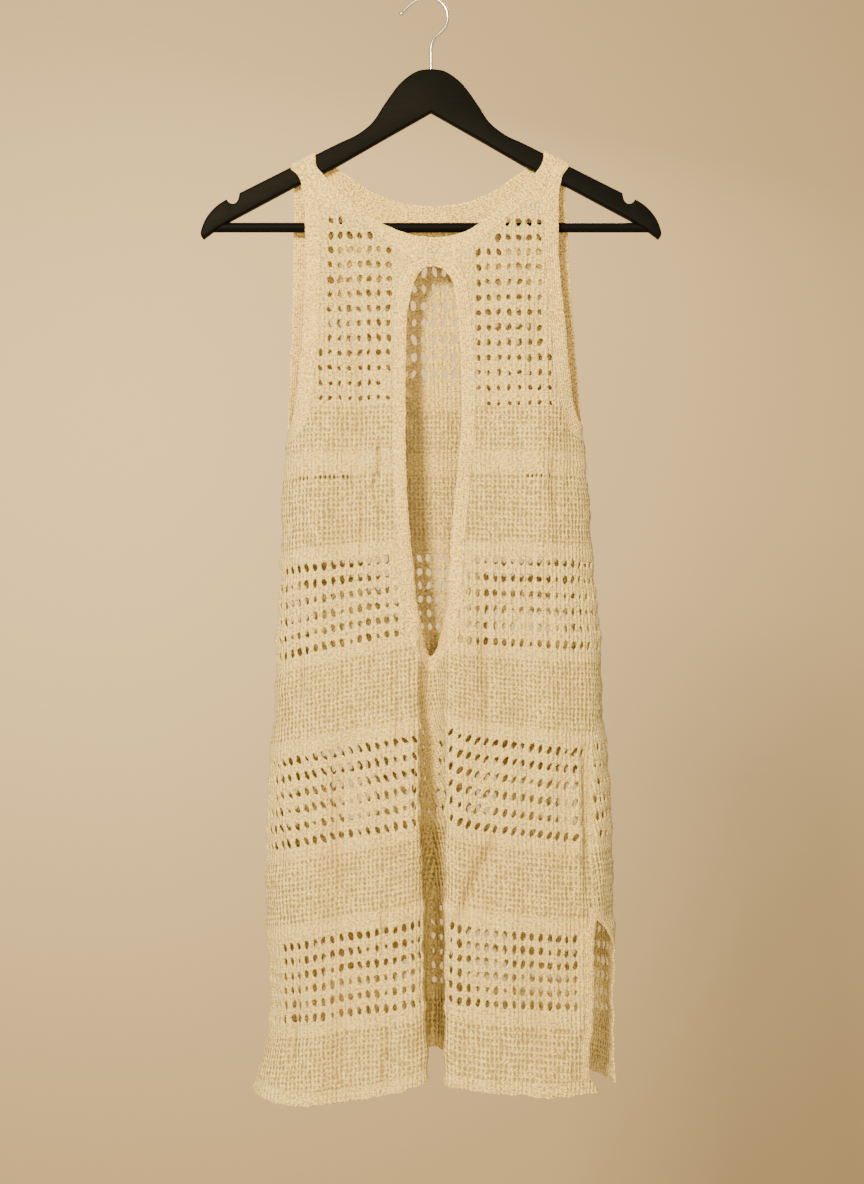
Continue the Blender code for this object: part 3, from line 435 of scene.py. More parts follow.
def ring(drop):
    """The garment's section at one drop, and the distance along it to each point."""
    table = np.array(RING_ROWS, float)
    s = dict(zip(RING_COLUMNS, smooth(drop, table[:, 0], table)))
    centre = (s["fold_left"] + s["fold_right"]) / 2
    half_gap = (s["fold_right"] - s["fold_left"]) / 2
    right = half_front(1, s["right"] - s["fold_right"], s["front_right"], s["crease_right"],
                       centre, half_gap, s["fold_depth"])
    left = half_front(-1, s["fold_left"] - s["left"], s["front_left"], s["crease_left"],
                      centre, half_gap, s["fold_depth"])
    back = [(s["left"] + share * (s["right"] - s["left"]),
             s["back"] * out + s["back_fold"] * fold) for share, out, fold in BACK_SECTION]
    points = catmull_rom(right + left[::-1] + back, True, STEPS_PER_PLACE)
    return points, length_along(points)


# The sections at even drops, each with one more round before and after, so that a piece may pass
# the sides.
RING_DROPS = np.arange(136, 1084, ROW_STEP)
rows = [ring(drop) for drop in RING_DROPS]
RING_X = np.array([np.concatenate((p[:-1, 0], p[:, 0], p[1:, 0])) for p, a in rows])
RING_Y = np.array([np.concatenate((p[:-1, 1], p[:, 1], p[1:, 1])) for p, a in rows])
RING_ALONG = np.array([np.concatenate((a[:-1] - a[-1], a, a[1:] + a[-1])) for p, a in rows])
RING_PLACE = np.arange(RING_X.shape[1]) / STEPS_PER_PLACE - PLACES
LAST_LEVEL = len(RING_DROPS) - 1.001


def column(place):
    """The column of the ring tables for a place."""
    return int((place + PLACES) * STEPS_PER_PLACE)


def at_place(table, place, drop):
    """A ring table's value at a place of the ring, for each drop."""
    return np.interp(drop, RING_DROPS, table[:, column(place)])


def on_ring(side, across, drop):
    """x, y and place of the ring at distances across one side of the cloth, for each drop."""
    level = np.clip((drop - RING_DROPS[0]) / ROW_STEP, 0, LAST_LEVEL)
    lower = level.astype(int)
    result = np.zeros((3, len(drop)))
    for row in np.unique(lower):
        mine = lower == row
        for near, weight in ((row, 1 + row - level[mine]), (row + 1, level[mine] - row)):
            distance = side.middle[near] + side.sign * across[mine]
            for k, table in enumerate((RING_X[near], RING_Y[near], RING_PLACE)):
                result[k, mine] += weight * np.interp(distance, RING_ALONG[near], table)
    return result


# The straps bend over the arms, and the shoulder seams lie on top. A strap's three widths are where
# its armhole edge, the band's seam and its neck edge cross the arm.
ARM_SLOPE = 0.507
WRAP_RADIUS = 4.3
WRAP_EASE = 70
STRAP_LIFT = 0.3
STRAP_GAP = 0.5
WALL = 2.0
STRAP_OUT = ARM_THICKNESS / 2 + STRAP_GAP + WALL / 2
WRAP_FLAT = STRAP_OUT - WRAP_RADIUS
WRAP_ARC = WRAP_RADIUS * math.pi / 2
STRAP_LEFT = (-133, -120, -109)
STRAP_RIGHT = (137, 125, 113)
NORMAL_STEP = 0.7


def ease(t):
    """0 up to t = 0, 1 from t = 1 on, and a smooth rise between them."""
    t = np.clip(t, 0.0, 1.0)
    return t * t * (3 - 2 * t)


def wrap_drop(x):
    """Drop at which the cloth starts to bend over the hanger's arm."""
    start, drop = CROWN_CURVE[-1]
    arm_top = drop + ARM_SLOPE * (np.abs(x - STEM_X) - start)
    return arm_top - STRAP_LIFT - STRAP_GAP - WALL / 2 + WRAP_RADIUS


class Side:
    """The front or the back: its cloth coordinates and where they lie in space."""

    def __init__(self, name, centre, sign):
        self.name = name
        self.centre = centre
        self.sign = sign
        self.middle = RING_ALONG[:, column(centre)]

    def distance(self, across, drop):
        """Distance along the ring from one across the cloth, to the right of its centre line."""
        return np.interp(drop, RING_DROPS, self.middle) + self.sign * across

    def from_x(self, x, drop):
        """Cloth coordinates of the point that shows at x and a drop."""
        level = min(max((drop - RING_DROPS[0]) / ROW_STEP, 0), LAST_LEVEL)
        lower = int(level)
        low, high = (RIGHT_SIDE, LEFT_SIDE) if self.name == "front" else (LEFT_SIDE, PLACES)
        part = slice(column(low), column(high) + 1)
        across = 0.0
        for row, weight in ((lower, 1 + lower - level), (lower + 1, level - lower)):
            xs, distances = RING_X[row, part], RING_ALONG[row, part]
            if self.name == "front":
                xs, distances = xs[::-1], distances[::-1]
            distance = float(np.interp(x, np.maximum.accumulate(xs), distances))
            across += weight * self.sign * (distance - self.middle[row])
        return (across, -drop)

    def edge(self, hand, drop, turn):
        """A point turned by a distance from the left or right side along the ring."""
        place = LEFT_SIDE if hand == "left" else (RIGHT_SIDE if self.name == "front" else PLACES)
        distance = float(at_place(RING_ALONG, place, drop)) + turn
        return (self.sign * (distance - float(np.interp(drop, RING_DROPS, self.middle))), -drop)

    def points(self, cloth):
        """Where points of the cloth's middle lie, in millimetres."""
        drop = -cloth[:, 1]
        x, y, place = on_ring(self, cloth[:, 0], drop)
        out = -y if self.name == "front" else y
        over = wrap_drop(x) - drop
        hanging = np.where(out > STRAP_OUT,
                           STRAP_OUT + (out - STRAP_OUT) * ease(-over / WRAP_EASE), out)
        turn = np.clip(over / WRAP_RADIUS, 0, math.pi / 2)
        bent = WRAP_FLAT + WRAP_RADIUS * np.cos(turn)
        flat = WRAP_FLAT - (over - WRAP_ARC)
        out = np.where(over <= 0, hanging, np.where(over < WRAP_ARC, bent, flat))
        low = np.where(over <= 0, drop, wrap_drop(x) - WRAP_RADIUS * np.sin(turn))
        return np.column_stack((x, -out if self.name == "front" else out, -low))

    def normals(self, cloth):
        """The outward direction of the cloth at each point."""
        sideways = self.points(cloth + (NORMAL_STEP, 0)) - self.points(cloth - (NORMAL_STEP, 0))
        upward = self.points(cloth + (0, NORMAL_STEP)) - self.points(cloth - (0, NORMAL_STEP))
        return unit(np.cross(sideways, upward) * (1 if self.name == "front" else -1))


FRONT = Side("front", CENTRE, -1)
BACK = Side("back", BACK_CENTRE, 1)

# A course of knit: its drop at the fold's left edge, at the left side, at the fold's right edge and
# at the right side of the front, and at the middle and the sides of the back.
COURSE_ROWS = (
    (120, 120, 120, 120, 120, 120),
    (380, 380, 380, 380, 380, 380),
    (450, 454, 450, 452, 450, 451),
    (545, 560, 545, 552, 545, 548),
    (613, 643, 620, 631, 613, 618),
    (718, 747, 706, 735, 718, 728),
    (797, 826, 788, 816, 797, 810),
    (894, 925, 891, 912, 896, 913),
    (967, 992, 961, 974, 969, 989),
    (1033, 1062, 1033, 1057, 1033, 1058),
    (1080, 1110, 1080, 1105, 1080, 1107),
)
YOKE_SKEW_END = 300
YOKE_SKEW_LEFT = 0.24
YOKE_SKEW_RIGHT = -0.06
BACK_HALF_WIDTH = 170


def course_drops(side, place, across):
    """The drop of each course row at points of the cloth: one column a row."""
    rows = np.array(COURSE_ROWS, float)
    if side.name == "back":
        towards_side = np.clip(np.abs(across) / BACK_HALF_WIDTH, 0, 1)[:, None] ** 2
        return rows[None, :, 4] + (rows[:, 5] - rows[:, 4])[None] * towards_side
    left = ease((place - FOLD_LEFT) / (LEFT_SIDE - FOLD_LEFT))[:, None]
    right = (1 - np.clip(place / FOLD_RIGHT, 0, 1)[:, None] ** 2)
    through = np.clip((place - FOLD_RIGHT) / (FOLD_LEFT - FOLD_RIGHT), 0, 1)[:, None]
    fold = rows[None, :, 2] * (1 - through) + rows[None, :, 0] * through
    return fold + (rows[:, 1] - rows[:, 0])[None] * left + (rows[:, 3] - rows[:, 2])[None] * right


def knit_grid(side, cloth):
    """Wale and course of points, in millimetres: the wale as the left half counts it, as the right
    half does, and the course."""
    drop = -cloth[:, 1]
    place = on_ring(side, cloth[:, 0], drop)[2]
    drops = course_drops(side, place, cloth[:, 0])
    courses = np.array([row[0] for row in COURSE_ROWS], float)
    course = np.array([np.interp(d, row, courses) for d, row in zip(drop, drops)])
    if side.name == "back":
        return cloth[:, 0], cloth[:, 0], course
    wales = []
    for mid, skew in ((MID_LEFT, YOKE_SKEW_LEFT), (MID_RIGHT, YOKE_SKEW_RIGHT)):
        middle = at_place(RING_X, mid, drop) + at_place(RING_ALONG, mid, drop)
        wales.append(middle - side.distance(cloth[:, 0], drop)
                     + skew * np.maximum(0, YOKE_SKEW_END - drop))
    return wales[0], wales[1], course


def cloth_at(side, hand, wale, course):
    """Cloth coordinates of a crossing of a wale and a course."""
    rows = np.array(COURSE_ROWS, float)
    if side.name == "back":
        drops = course_drops(side, np.zeros(1), np.array([wale]))[0]
        return np.array((wale, -np.interp(course, rows[:, 0], drops)))
    mid, skew = (MID_RIGHT, YOKE_SKEW_RIGHT) if hand == "right" else (MID_LEFT, YOKE_SKEW_LEFT)
    drop = float(course)
    for _ in range(4):
        middle = float(at_place(RING_X, mid, drop) + at_place(RING_ALONG, mid, drop))
        distance = middle - wale + skew * max(0, YOKE_SKEW_END - drop)
        across = side.sign * (distance - float(np.interp(drop, RING_DROPS, side.middle)))
        place = on_ring(side, np.array([across]), np.array([drop]))[2]
        drop = float(np.interp(course, rows[:, 0], course_drops(side, place, None)[0]))
    return np.array((across, -drop))


# Creases and gathers as they hang in the front: a line down the cloth as x and drop, the crease's
# half width, and its height, which is negative where it sinks in.
FRONT_CREASES = (
    (((-72, 329), (-66, 396), (-60, 462)), 6, -1.6),
    (((-51, 430), (-46, 450), (-49, 478)), 2.8, -3.0),
    (((-58, 428), (-53, 450), (-56, 480)), 4, 1.4),
    (((-61, 458), (-63, 553)), 3.5, -1.7),
    (((-68, 446), (-72, 476)), 3, -1.3),
    (((-121, 640), (-122, 690)), 5, -1.8),
    (((-88, 730), (-84, 855)), 7, -2.0),
    (((-138, 800), (-138, 856)), 5, -1.6),
    (((-39, 864), (-43, 928)), 3.2, -3.0),
    (((-127, 968), (-131, 1034)), 3.4, -2.8),
    (((-38, 986), (-41, 1054)), 3.4, -2.8),
    (((107, 300), (98, 396)), 7, -1.6),
    (((119, 446), (124, 512)), 5, -1.8),
    (((50, 556), (59, 740)), 6, -2.2),
    (((97, 530), (98, 645)), 5, -1.6),
    (((112, 530), (117, 645)), 4, -1.4),
    (((69, 803), (26, 897)), 7, -3.2),
    (((152, 722), (155, 874)), 5, -2.4),
    (((142, 722), (145, 900)), 6, 1.6),
    (((-31, 636), (-27, 760)), 4, -1.5),
    (((-21, 640), (-17, 752)), 4, 1.0),
    (((-90, 940), (-100, 1040)), 10, 1.6),
    (((100, 910), (112, 1040)), 11, -1.8),
    (((78, 930), (84, 1045)), 9, 1.4),
)
BACK_CREASES = (
    (((-60, 300), (-52, 520)), 9, -1.8),
    (((48, 330), (60, 540)), 8, -1.8),
    (((-95, 560), (-80, 860)), 10, -2.2),
    (((10, 480), (-6, 800)), 11, 1.8),
    (((84, 600), (70, 900)), 10, -2.2),
    (((-30, 820), (-44, 1040)), 10, -2.0),
    (((40, 860), (48, 1040)), 11, 1.8),
    (((120, 760), (126, 1030)), 9, -1.8),
)
CREASE_DEPTH = 2.8


def crease_height(x, drop, creases):
    """Height of the creases at points given by x and drop. Each tapers to both its ends, and the
    cloth beside it stands the other way a little."""
    height = np.zeros(len(x))
    for line, half_width, depth in creases:
        line = even_curve(line, 4)
        share = np.linspace(0, 1, len(line))
        best = np.full(len(x), np.inf)
        where = np.zeros(len(x))
        for k in range(len(line) - 1):
            a, b = line[k], line[k + 1]
            along = np.clip(((x - a[0]) * (b - a)[0] + (drop - a[1]) * (b - a)[1])
                            / float((b - a) @ (b - a)), 0, 1)
            away = np.hypot(x - a[0] - along * (b - a)[0], drop - a[1] - along * (b - a)[1])
            closer = away < best
            best[closer] = away[closer]
            where[closer] = (share[k] + along * (share[k + 1] - share[k]))[closer]
        taper = np.clip(np.sin(math.pi * np.clip(where * 0.92 + 0.04, 0, 1)), 0, 1) ** 0.7
        reach = best / half_width
        pushed_up = 0.25 * np.exp(-(reach / 2.4) ** 2)
        height += CREASE_DEPTH * depth * taper * (np.exp(-reach ** 2) - pushed_up)
    return height


# Broad folds and cockle: width across the cloth, length down it, and height.
SOFT_FOLDS = ((118, 520, 1.8), (71, 390, 1.5), (43, 260, 1.1), (27, 150, 0.6), (17, 33, 0.3),
              (13, 21, 0.25))
FRONT_RELIEF_SEED = 11
BACK_RELIEF_SEED = 23
STRAPS_LIE_FLAT = 212
RELIEF_EASE = 70
FACING = 1.25
SEAM_RIDGE = 2.2
# The crease and fold depths at which the shade painted into them is full.
DEEP_CREASE = 4.5
DEEP_FOLD = 3


def soft_relief(x, drop, seed):
    """Broad, uneven folds and a fine cockle of the whole cloth, as a height at x and drop."""
    random = np.random.default_rng(seed)
    height = np.zeros(len(x))
    for wide, tall, amount in SOFT_FOLDS:
        a, b, c, d = random.uniform(0, 2 * math.pi, 4)
        sway = 0.9 * np.sin(2 * math.pi * drop / (tall * 1.7) + a)
        height += amount * np.sin(2 * math.pi * x / wide + sway + b) * (
            0.6 + 0.4 * np.sin(2 * math.pi * drop / tall + c + x / (wide * 2.3)))
        height += 0.3 * amount * np.sin(2 * math.pi * drop / tall * 1.6 + d + x / wide)
    return height


def hang(side, cloth):
    """Where points of the cloth's middle lie with their creases, their outward directions, and the
    shade painted at each, from 0 to 1: deeper in the creases and in the valleys of broad folds."""
    places, out = side.points(cloth), side.normals(cloth)
    x, drop = places[:, 0], -places[:, 2]
    front = np.clip(-out[:, 1] * FACING, 0, 1)
    back = np.clip(out[:, 1] * FACING, 0, 1)
    fade = ease((drop - STRAPS_LIE_FLAT) / RELIEF_EASE)
    creases = front * crease_height(x, drop, FRONT_CREASES)
    creases += back * crease_height(x, drop, BACK_CREASES)
    relief = front * soft_relief(x, drop, FRONT_RELIEF_SEED)
    relief += back * soft_relief(x, drop, BACK_RELIEF_SEED)
    height = creases + relief
    # Where the cloth turns round the sides, it ripples down its length.
    sides = np.clip(np.abs(out[:, 0]) * 1.5 - 0.5, 0, 1)
    height += sides * (0.7 * np.sin(drop / 7.3 + 1.1 * np.sin(drop / 31) + 0.02 * x)
                       + 0.5 * np.sin(drop / 3.1 + 2 * np.sin(drop / 19)))
    # The shoulder seam stands up in a small bumpy ridge.
    from_seam = WRAP_ARC + WRAP_FLAT - (wrap_drop(x) + cloth[:, 1])
    seam = np.exp(-(from_seam / SEAM_RIDGE) ** 2) * (0.8 + 0.35 * np.sin(x * 2.1))
    # Painted shade: the colour darkens in creases and in the valleys of the broad folds, where shade
    # falls.
    painted_fold_shade = np.clip(-creases / DEEP_CREASE, 0, 1) + 0.3 * np.clip(-relief / DEEP_FOLD, 0, 1)
    return places + out * (height * fade + seam)[:, None], out, np.clip(painted_fold_shade, 0, 1) * fade


def inside(points, loop):
    """For each point, whether it lies inside a closed outline."""
    x, y = points[:, 0], points[:, 1]
    result = np.zeros(len(points), bool)
    for (ax, ay), (bx, by) in zip(loop, np.roll(loop, -1, axis=0)):
        if ay != by:
            result ^= ((ay > y) != (by > y)) & (x < (bx - ax) * (y - ay) / (by - ay) + ax)
    return result


def search_tree(points):
    """A tree that finds the nearest of the points in the plane."""
    tree = kdtree.KDTree(len(points))
    for k, (x, y) in enumerate(points):
        tree.insert((x, y, 0), k)
    tree.balance()
    return tree


def nearest(points, others):
    """For each point, the number of the nearest other one and its distance."""
    tree = search_tree(others)
    found = [tree.find((x, y, 0)) for x, y in points]
    return np.array([f[1] for f in found]), np.array([f[2] for f in found])


# A free edge is rounded over the outermost millimetre. An outline of more points than an eyelet's is
# an opening, which stays empty inside. Corners inside a piece stand in rows, and those that would
# crowd an edge or a rim are left out.
ROUND_EDGE = 1.0
ROW_SHARE = 0.866
RIM_ROOM = 0.7
GRID_ROOM = 0.6
RIM_CLEARANCE = 0.25
EYELET_REACH = 3.4
MOST_EYELET_POINTS = 30
SEAM_REACH = 0.6
NEIGHBOURS = 4


def middles(holes):
    """The middle of each hole."""
    return np.array([hole.mean(axis=0) for hole in holes])


def clear_rims(holes):
    """The points of a rim round each hole that lie clear of its neighbours."""
    tree = search_tree(middles(holes))
    rims = []
    for k, (hole, middle) in enumerate(zip(holes, middles(holes))):
        rim = inset(hole, -ROUND_EDGE)
        for _, other, _ in tree.find_n((*middle, 0), NEIGHBOURS + 1):
            if other != k:
                rim = rim[~inside(rim, inset(holes[other], -RIM_CLEARANCE))]
        rims.append(rim)
    return rims


def fill(outline, holes, spacing):
    """Corners and triangles that fill an outline round its holes, and each corner's kind: 0 on an
    edge, 1 inside, 2 on a rim."""
    outline = inset(outline, 0)
    rims = clear_rims(holes)
    within = inset(outline, ROUND_EDGE)
    within = within[inside(within, outline)]
    within = within[nearest(within, outline)[1] > RIM_ROOM * ROUND_EDGE]
    low, high = outline.min(axis=0), outline.max(axis=0)
    grid = []
    for k, y in enumerate(np.arange(low[1] + 1, high[1], spacing * ROW_SHARE)):
        xs = np.arange(low[0] + (k % 2) * spacing / 2, high[0], spacing)
        grid.append(np.column_stack((xs, np.full(len(xs), y))))
    grid = np.vstack(grid)
    grid = grid[inside(grid, outline)]
    near = nearest(grid, np.vstack([outline, within] + list(holes) + rims))[1]
    grid = grid[near > GRID_ROOM * spacing]
    if len(holes):
        grid = grid[nearest(grid, middles(holes))[1] > EYELET_REACH]
        for hole in holes:
            if len(hole) > MOST_EYELET_POINTS:
                grid = grid[~inside(grid, hole)]
    loops = [outline] + list(holes)
    points = np.vstack(loops + [within] + rims + [grid])
    edges, owner, start = [], [], 0
    for number, loop in enumerate(loops):
        count = len(loop)
        edges += [(start + k, start + (k + 1) % count) for k in range(count)]
        owner += [number] * count
        start += count
    kinds = np.concatenate((np.zeros(start, int), np.ones(len(within), int),
                            np.full(sum(len(rim) for rim in rims), 2), np.ones(len(grid), int)))
    owner = np.concatenate((owner, np.full(len(points) - start, -1)))
    found = delaunay_2d_cdt([Vector(p) for p in points], edges, [list(range(len(outline)))],
                            1, 1e-5)
    corners = np.array([tuple(corner) for corner in found[0]])
    triangles = np.array(found[2])
    first = np.array([source[0] if source else -1 for source in found[3]])
    owners = np.where(first >= 0, owner[first], -1)
    kind = np.where(first >= 0, kinds[first], 0)
    # A triangle between three corners of one hole lies in that hole and is left out, unless the hole
    # is an opening that it lies outside of.
    mine = owners[triangles]
    cut_away = (mine[:, 0] > 0) & (mine[:, 0] == mine[:, 1]) & (mine[:, 0] == mine[:, 2])
    for k in np.flatnonzero(cut_away):
        hole = loops[mine[k, 0]]
        middle = corners[triangles[k]].mean(axis=0)[None]
        if len(hole) > MOST_EYELET_POINTS and not inside(middle, hole)[0]:
            cut_away[k] = False
    return corners, triangles[~cut_away], kind


def along_line(points, guide):
    """How far along a guide line and how far from it each point lies."""
    guide = resample(guide, 1.0)
    number, _ = nearest(points, guide)
    ahead = unit(guide[np.minimum(number + 1, len(guide) - 1)] - guide[np.maximum(number - 1, 0)])
    off = points - guide[number]
    return number + np.sum(off * ahead, axis=1), ahead[:, 0] * off[:, 1] - ahead[:, 1] * off[:, 0]


RIM_PROUD = 0.25
EDGE_SHARE = 0.35
FOLDED_EDGE = math.radians(72)


def knit_piece(name, side, outline, material, holes=(), spacing=2.6, proud=0.0, guide=None,
               ridges=(), waffles=(), free=()):
    """A closed wall of knit, its stitches' places, its waffle's mask and the shade painted into its
    creases. The edges along the free lines and round the holes are rounded, and the others are seams."""
    corners, triangles, kind = fill(outline, holes, spacing)
    seam = kind == 0
    loops = list(free) + [np.vstack((hole, hole[:1])) for hole in holes]
    if loops:
        edge = np.vstack([resample(line, 0.5) for line in loops])
        seam[seam] = nearest(corners[seam], edge)[1] > SEAM_REACH
    middle, out, painted_fold_shade = hang(side, corners)
    wall = WALL / 2 * np.where((kind == 0) & ~seam, EDGE_SHARE, 1.0)
    extra = np.where(kind == 0, 0.3 * proud * seam, proud) + np.where(kind == 2, RIM_PROUD, 0.0)
    if guide is None:
        left, right, course = knit_grid(side, corners)
        for drop, half_width, height in ridges:
            extra += (kind > 0) * height * np.exp(-((course - drop) / half_width) ** 4)
    else:
        left, course = along_line(corners, guide)
        right = left
    mask = np.zeros(len(corners))
    for start, end in waffles:
        mask = np.maximum(mask, ease((course - start) / 4) * ease((end - course) / 4))
    outer = middle + out * (wall + extra)[:, None]
    under = middle - out * wall[:, None]
    if side.name == "back":
        triangles = triangles[:, ::-1]
    count = len(corners)
    directed = np.vstack((triangles[:, (0, 1)], triangles[:, (1, 2)], triangles[:, (2, 0)]))
    keys = directed[:, 0] * count + directed[:, 1]
    rim_edges = directed[~np.isin(keys, directed[:, 1] * count + directed[:, 0])]
    walls = np.column_stack((rim_edges[:, 1], rim_edges[:, 0], rim_edges[:, 0] + count,
                             rim_edges[:, 1] + count))
    mesh = bpy.data.meshes.new(name + "_knit")
    mesh.from_pydata(np.vstack((outer, under)) * MM, [],
                     triangles.tolist() + (triangles[:, ::-1] + count).tolist() + walls.tolist())
    sizes = np.array([3] * (2 * len(triangles)) + [4] * len(walls))
    face_across = np.concatenate((np.tile(corners[triangles, 0].mean(axis=1), 2),
                                  corners[walls % count, 0].mean(axis=1)))
    corner = np.zeros(int(sizes.sum()), np.int32)
    mesh.loops.foreach_get("vertex_index", corner)
    corner %= count
    wale = np.where(np.repeat(face_across, sizes) > 0, right[corner], left[corner])
    layer = mesh.uv_layers.new(name="stitches")
    layer.data.foreach_set("uv", np.column_stack((wale, course[corner])).astype(np.float32).ravel())
    # The shade painted into creases and fold valleys is kept on the corners as the crease attribute.
    for label, values in (("waffle", mask), ("crease", painted_fold_shade)):
        layer = mesh.attributes.new(label, "FLOAT", "POINT")
        layer.data.foreach_set("value", np.tile(values, 2).astype(np.float32))
    mesh.shade_smooth()
    mesh.set_sharp_from_angle(angle=FOLDED_EDGE)
    return add_piece(name + "_knit", name, mesh, material)


# Lines that the pieces are cut along, as x and drop. A slit's line is drop, and how far round the
# ring the edge lies from the side; a hem's line is share of the width from left to right, and drop.
# How uneven each free edge lies is in millimetres, with the seed that its waves are drawn from.
EDGE_STEP = 2.5
SLIT_POINTS = 4
UNDERARM = {"left": 424, "right": 418}
ARMHOLE_BAND = 15
SLIT_TOP = 892
SLIT_BAND = 10
SLIT_BAND_HEAD = 12
HEM_BAND = 14
NECK_UNEVEN = (0.3, 6)
ARMHOLE_UNEVEN = (0.35, 7)
KEYHOLE_UNEVEN = (0.35, 8)
SLIT_UNEVEN = (0.7, 4)
HEM_UNEVEN = (1.0, 3)
EDGE_WAVES = (11, 17, 29, 53)
FRONT_OUTLINES = {
    "neck": ((-108, 164), (-88, 187), (-57, 213), (-25, 230), (2, 235), (33, 231), (70, 206),
             (105, 171), (112, 160)),
    "strap_left": ((-114, 178), (-105, 205)),
    "strap_right": ((118, 178), (111, 199)),
    "armhole_left": ((-126, 174), (-122, 187), (-119, 222), (-119, 282), (-121, 325), (-125, 375),
                     (-129, 407), (-133, 418)),
    "armhole_right": ((131, 174), (128, 192), (127, 225), (128, 262), (132, 300), (137, 350),
                      (143, 393), (147, 410)),
    "inner_left": ((-105, 205), (-104, 240), (-104, 290), (-106, 335), (-110, 385), (-116, 415),
                   (-125, 430)),
    "inner_right": ((111, 199), (112, 226), (114, 265), (117, 303), (122, 355), (128, 398),
                    (136, 418), (143, 426)),
    "slit_left": ((892, 12), (912, 6), (945, 2), (1000, 0), (1030, 0), (1062, 0)),
    "slit_right": ((892, 44), (905, 49), (940, 51), (990, 53), (1020, 56), (1041, 56), (1057, 46)),
    "hem": ((0, 1062), (0.12, 1067), (0.25, 1060), (0.36, 1044), (0.45, 1033), (0.53, 1031),
            (0.62, 1037), (0.74, 1047), (0.88, 1057), (1, 1057)),
}
FRONT_NECKBAND_LEFT = ((-105, 205), (-81, 212.5), (-58, 227), (-34, 244.5), (-15, 257.5))
FRONT_NECKBAND_ARCH = ((-15, 257.5), (-6, 252.5), (6, 250.5), (18, 252.5), (27, 257.5))
FRONT_NECKBAND_RIGHT = ((27, 257.5), (48, 241), (70, 222.5), (92, 206), (111, 199))
KEYHOLE = ((5, 263.8), (-5, 267.2), (-12, 279), (-18.5, 305), (-20.5, 350), (-21, 410),
           (-20.5, 465), (-18, 510), (-13, 555), (-9, 595), (-5, 620), (3, 641), (12, 622),
           (18, 595), (21, 560), (24, 515), (29, 464), (32.5, 410), (32, 365), (30, 325),
           (27, 295), (22.5, 276), (15, 266.8))
KEYHOLE_BAND = ((-15, 257.5), (-25, 270), (-32, 303), (-33.5, 350), (-34, 410), (-33.5, 465),
                (-31, 512), (-26, 558), (-21, 600), (-13, 634), (3, 657), (20, 634), (30, 598),
                (34, 560), (37, 516), (42, 466), (45.5, 410), (45, 365), (43, 325), (40, 293),
                (34, 270), (27, 257.5))


def cloth_line(side, points):
    """A smooth line through points given by x and drop, in cloth coordinates."""
    return [side.from_x(x, drop) for x, drop in even_curve(points, EDGE_STEP)]


def over_arm(x):
    """Points of a strap at x, from the shoulder seam on top of the arm to where it hangs."""
    top = wrap_drop(x)
    return [(x, top - over) for over in np.linspace(WRAP_ARC + WRAP_FLAT, 0, 6)]


def strap_line(side, x, points):
    """A line from the shoulder seam at x, over the arm and on through the points."""
    start = over_arm(x)
    below = even_curve((start[-1],) + points, EDGE_STEP)
    return [side.from_x(*p) for p in start[:-1]] + [side.from_x(*p) for p in below]


def neck_line(side, points):
    """The neck's edge, from the left shoulder seam to the right one."""
    left, right = over_arm(STRAP_LEFT[2]), over_arm(STRAP_RIGHT[2])
    middle = even_curve((left[-1],) + points + (right[-1],), EDGE_STEP)
    return [side.from_x(*p) for p in left[:-1] + list(middle) + right[-2::-1]]


def edge_line(side, hand, rows, start, end, inward=0.0):
    """A line down the cloth, from rows of drop and turn; inward shifts it along the ring."""
    drops, turns = zip(*rows)
    count = max(2, int(round((end - start) / EDGE_STEP)) + 1)
    return [side.edge(hand, drop, smooth(drop, drops, turns) + inward)
            for drop in np.linspace(start, end, count)]


def hem_line(side, outlines, up):
    """The hem from left to right, raised by a distance, in cloth coordinates."""
    shares, drops = zip(*outlines["hem"])
    left_rows, right_rows = outlines["slit_left"], outlines["slit_right"]
    middle = outlines["hem"][len(drops) // 2][1] - up
    width = (side.edge("right", middle, right_rows[-1][1])[0]
             - side.edge("left", middle, left_rows[-1][1])[0])
    line = []
    for share in np.linspace(0, 1, int(round(width / EDGE_STEP)) + 1):
        drop = smooth(share, shares, drops) - up
        start = side.edge("left", drop, smooth(drop, *zip(*left_rows)))[0]
        end = side.edge("right", drop, smooth(drop, *zip(*right_rows)))[0]
        line.append((start + (end - start) * share, -drop))
    return line


def uneven(line, amount, seed):
    """The same line a little uneven, as a loose edge lies, with its ends kept."""
    line = np.array(line)
    random = np.random.default_rng(seed)
    ahead = unit(np.gradient(line, axis=0))
    along = np.arange(len(line)) * EDGE_STEP
    shift = np.zeros(len(line))
    for length in EDGE_WAVES:
        wave = np.sin(2 * math.pi * along / length + random.uniform(0, 6))
        shift += wave * random.uniform(0.3, 0.6)
    shift *= amount * np.minimum(1, np.minimum(along, along[::-1]) / 12)
    return [tuple(point) for point in line + turned_left(ahead) * shift[:, None]]


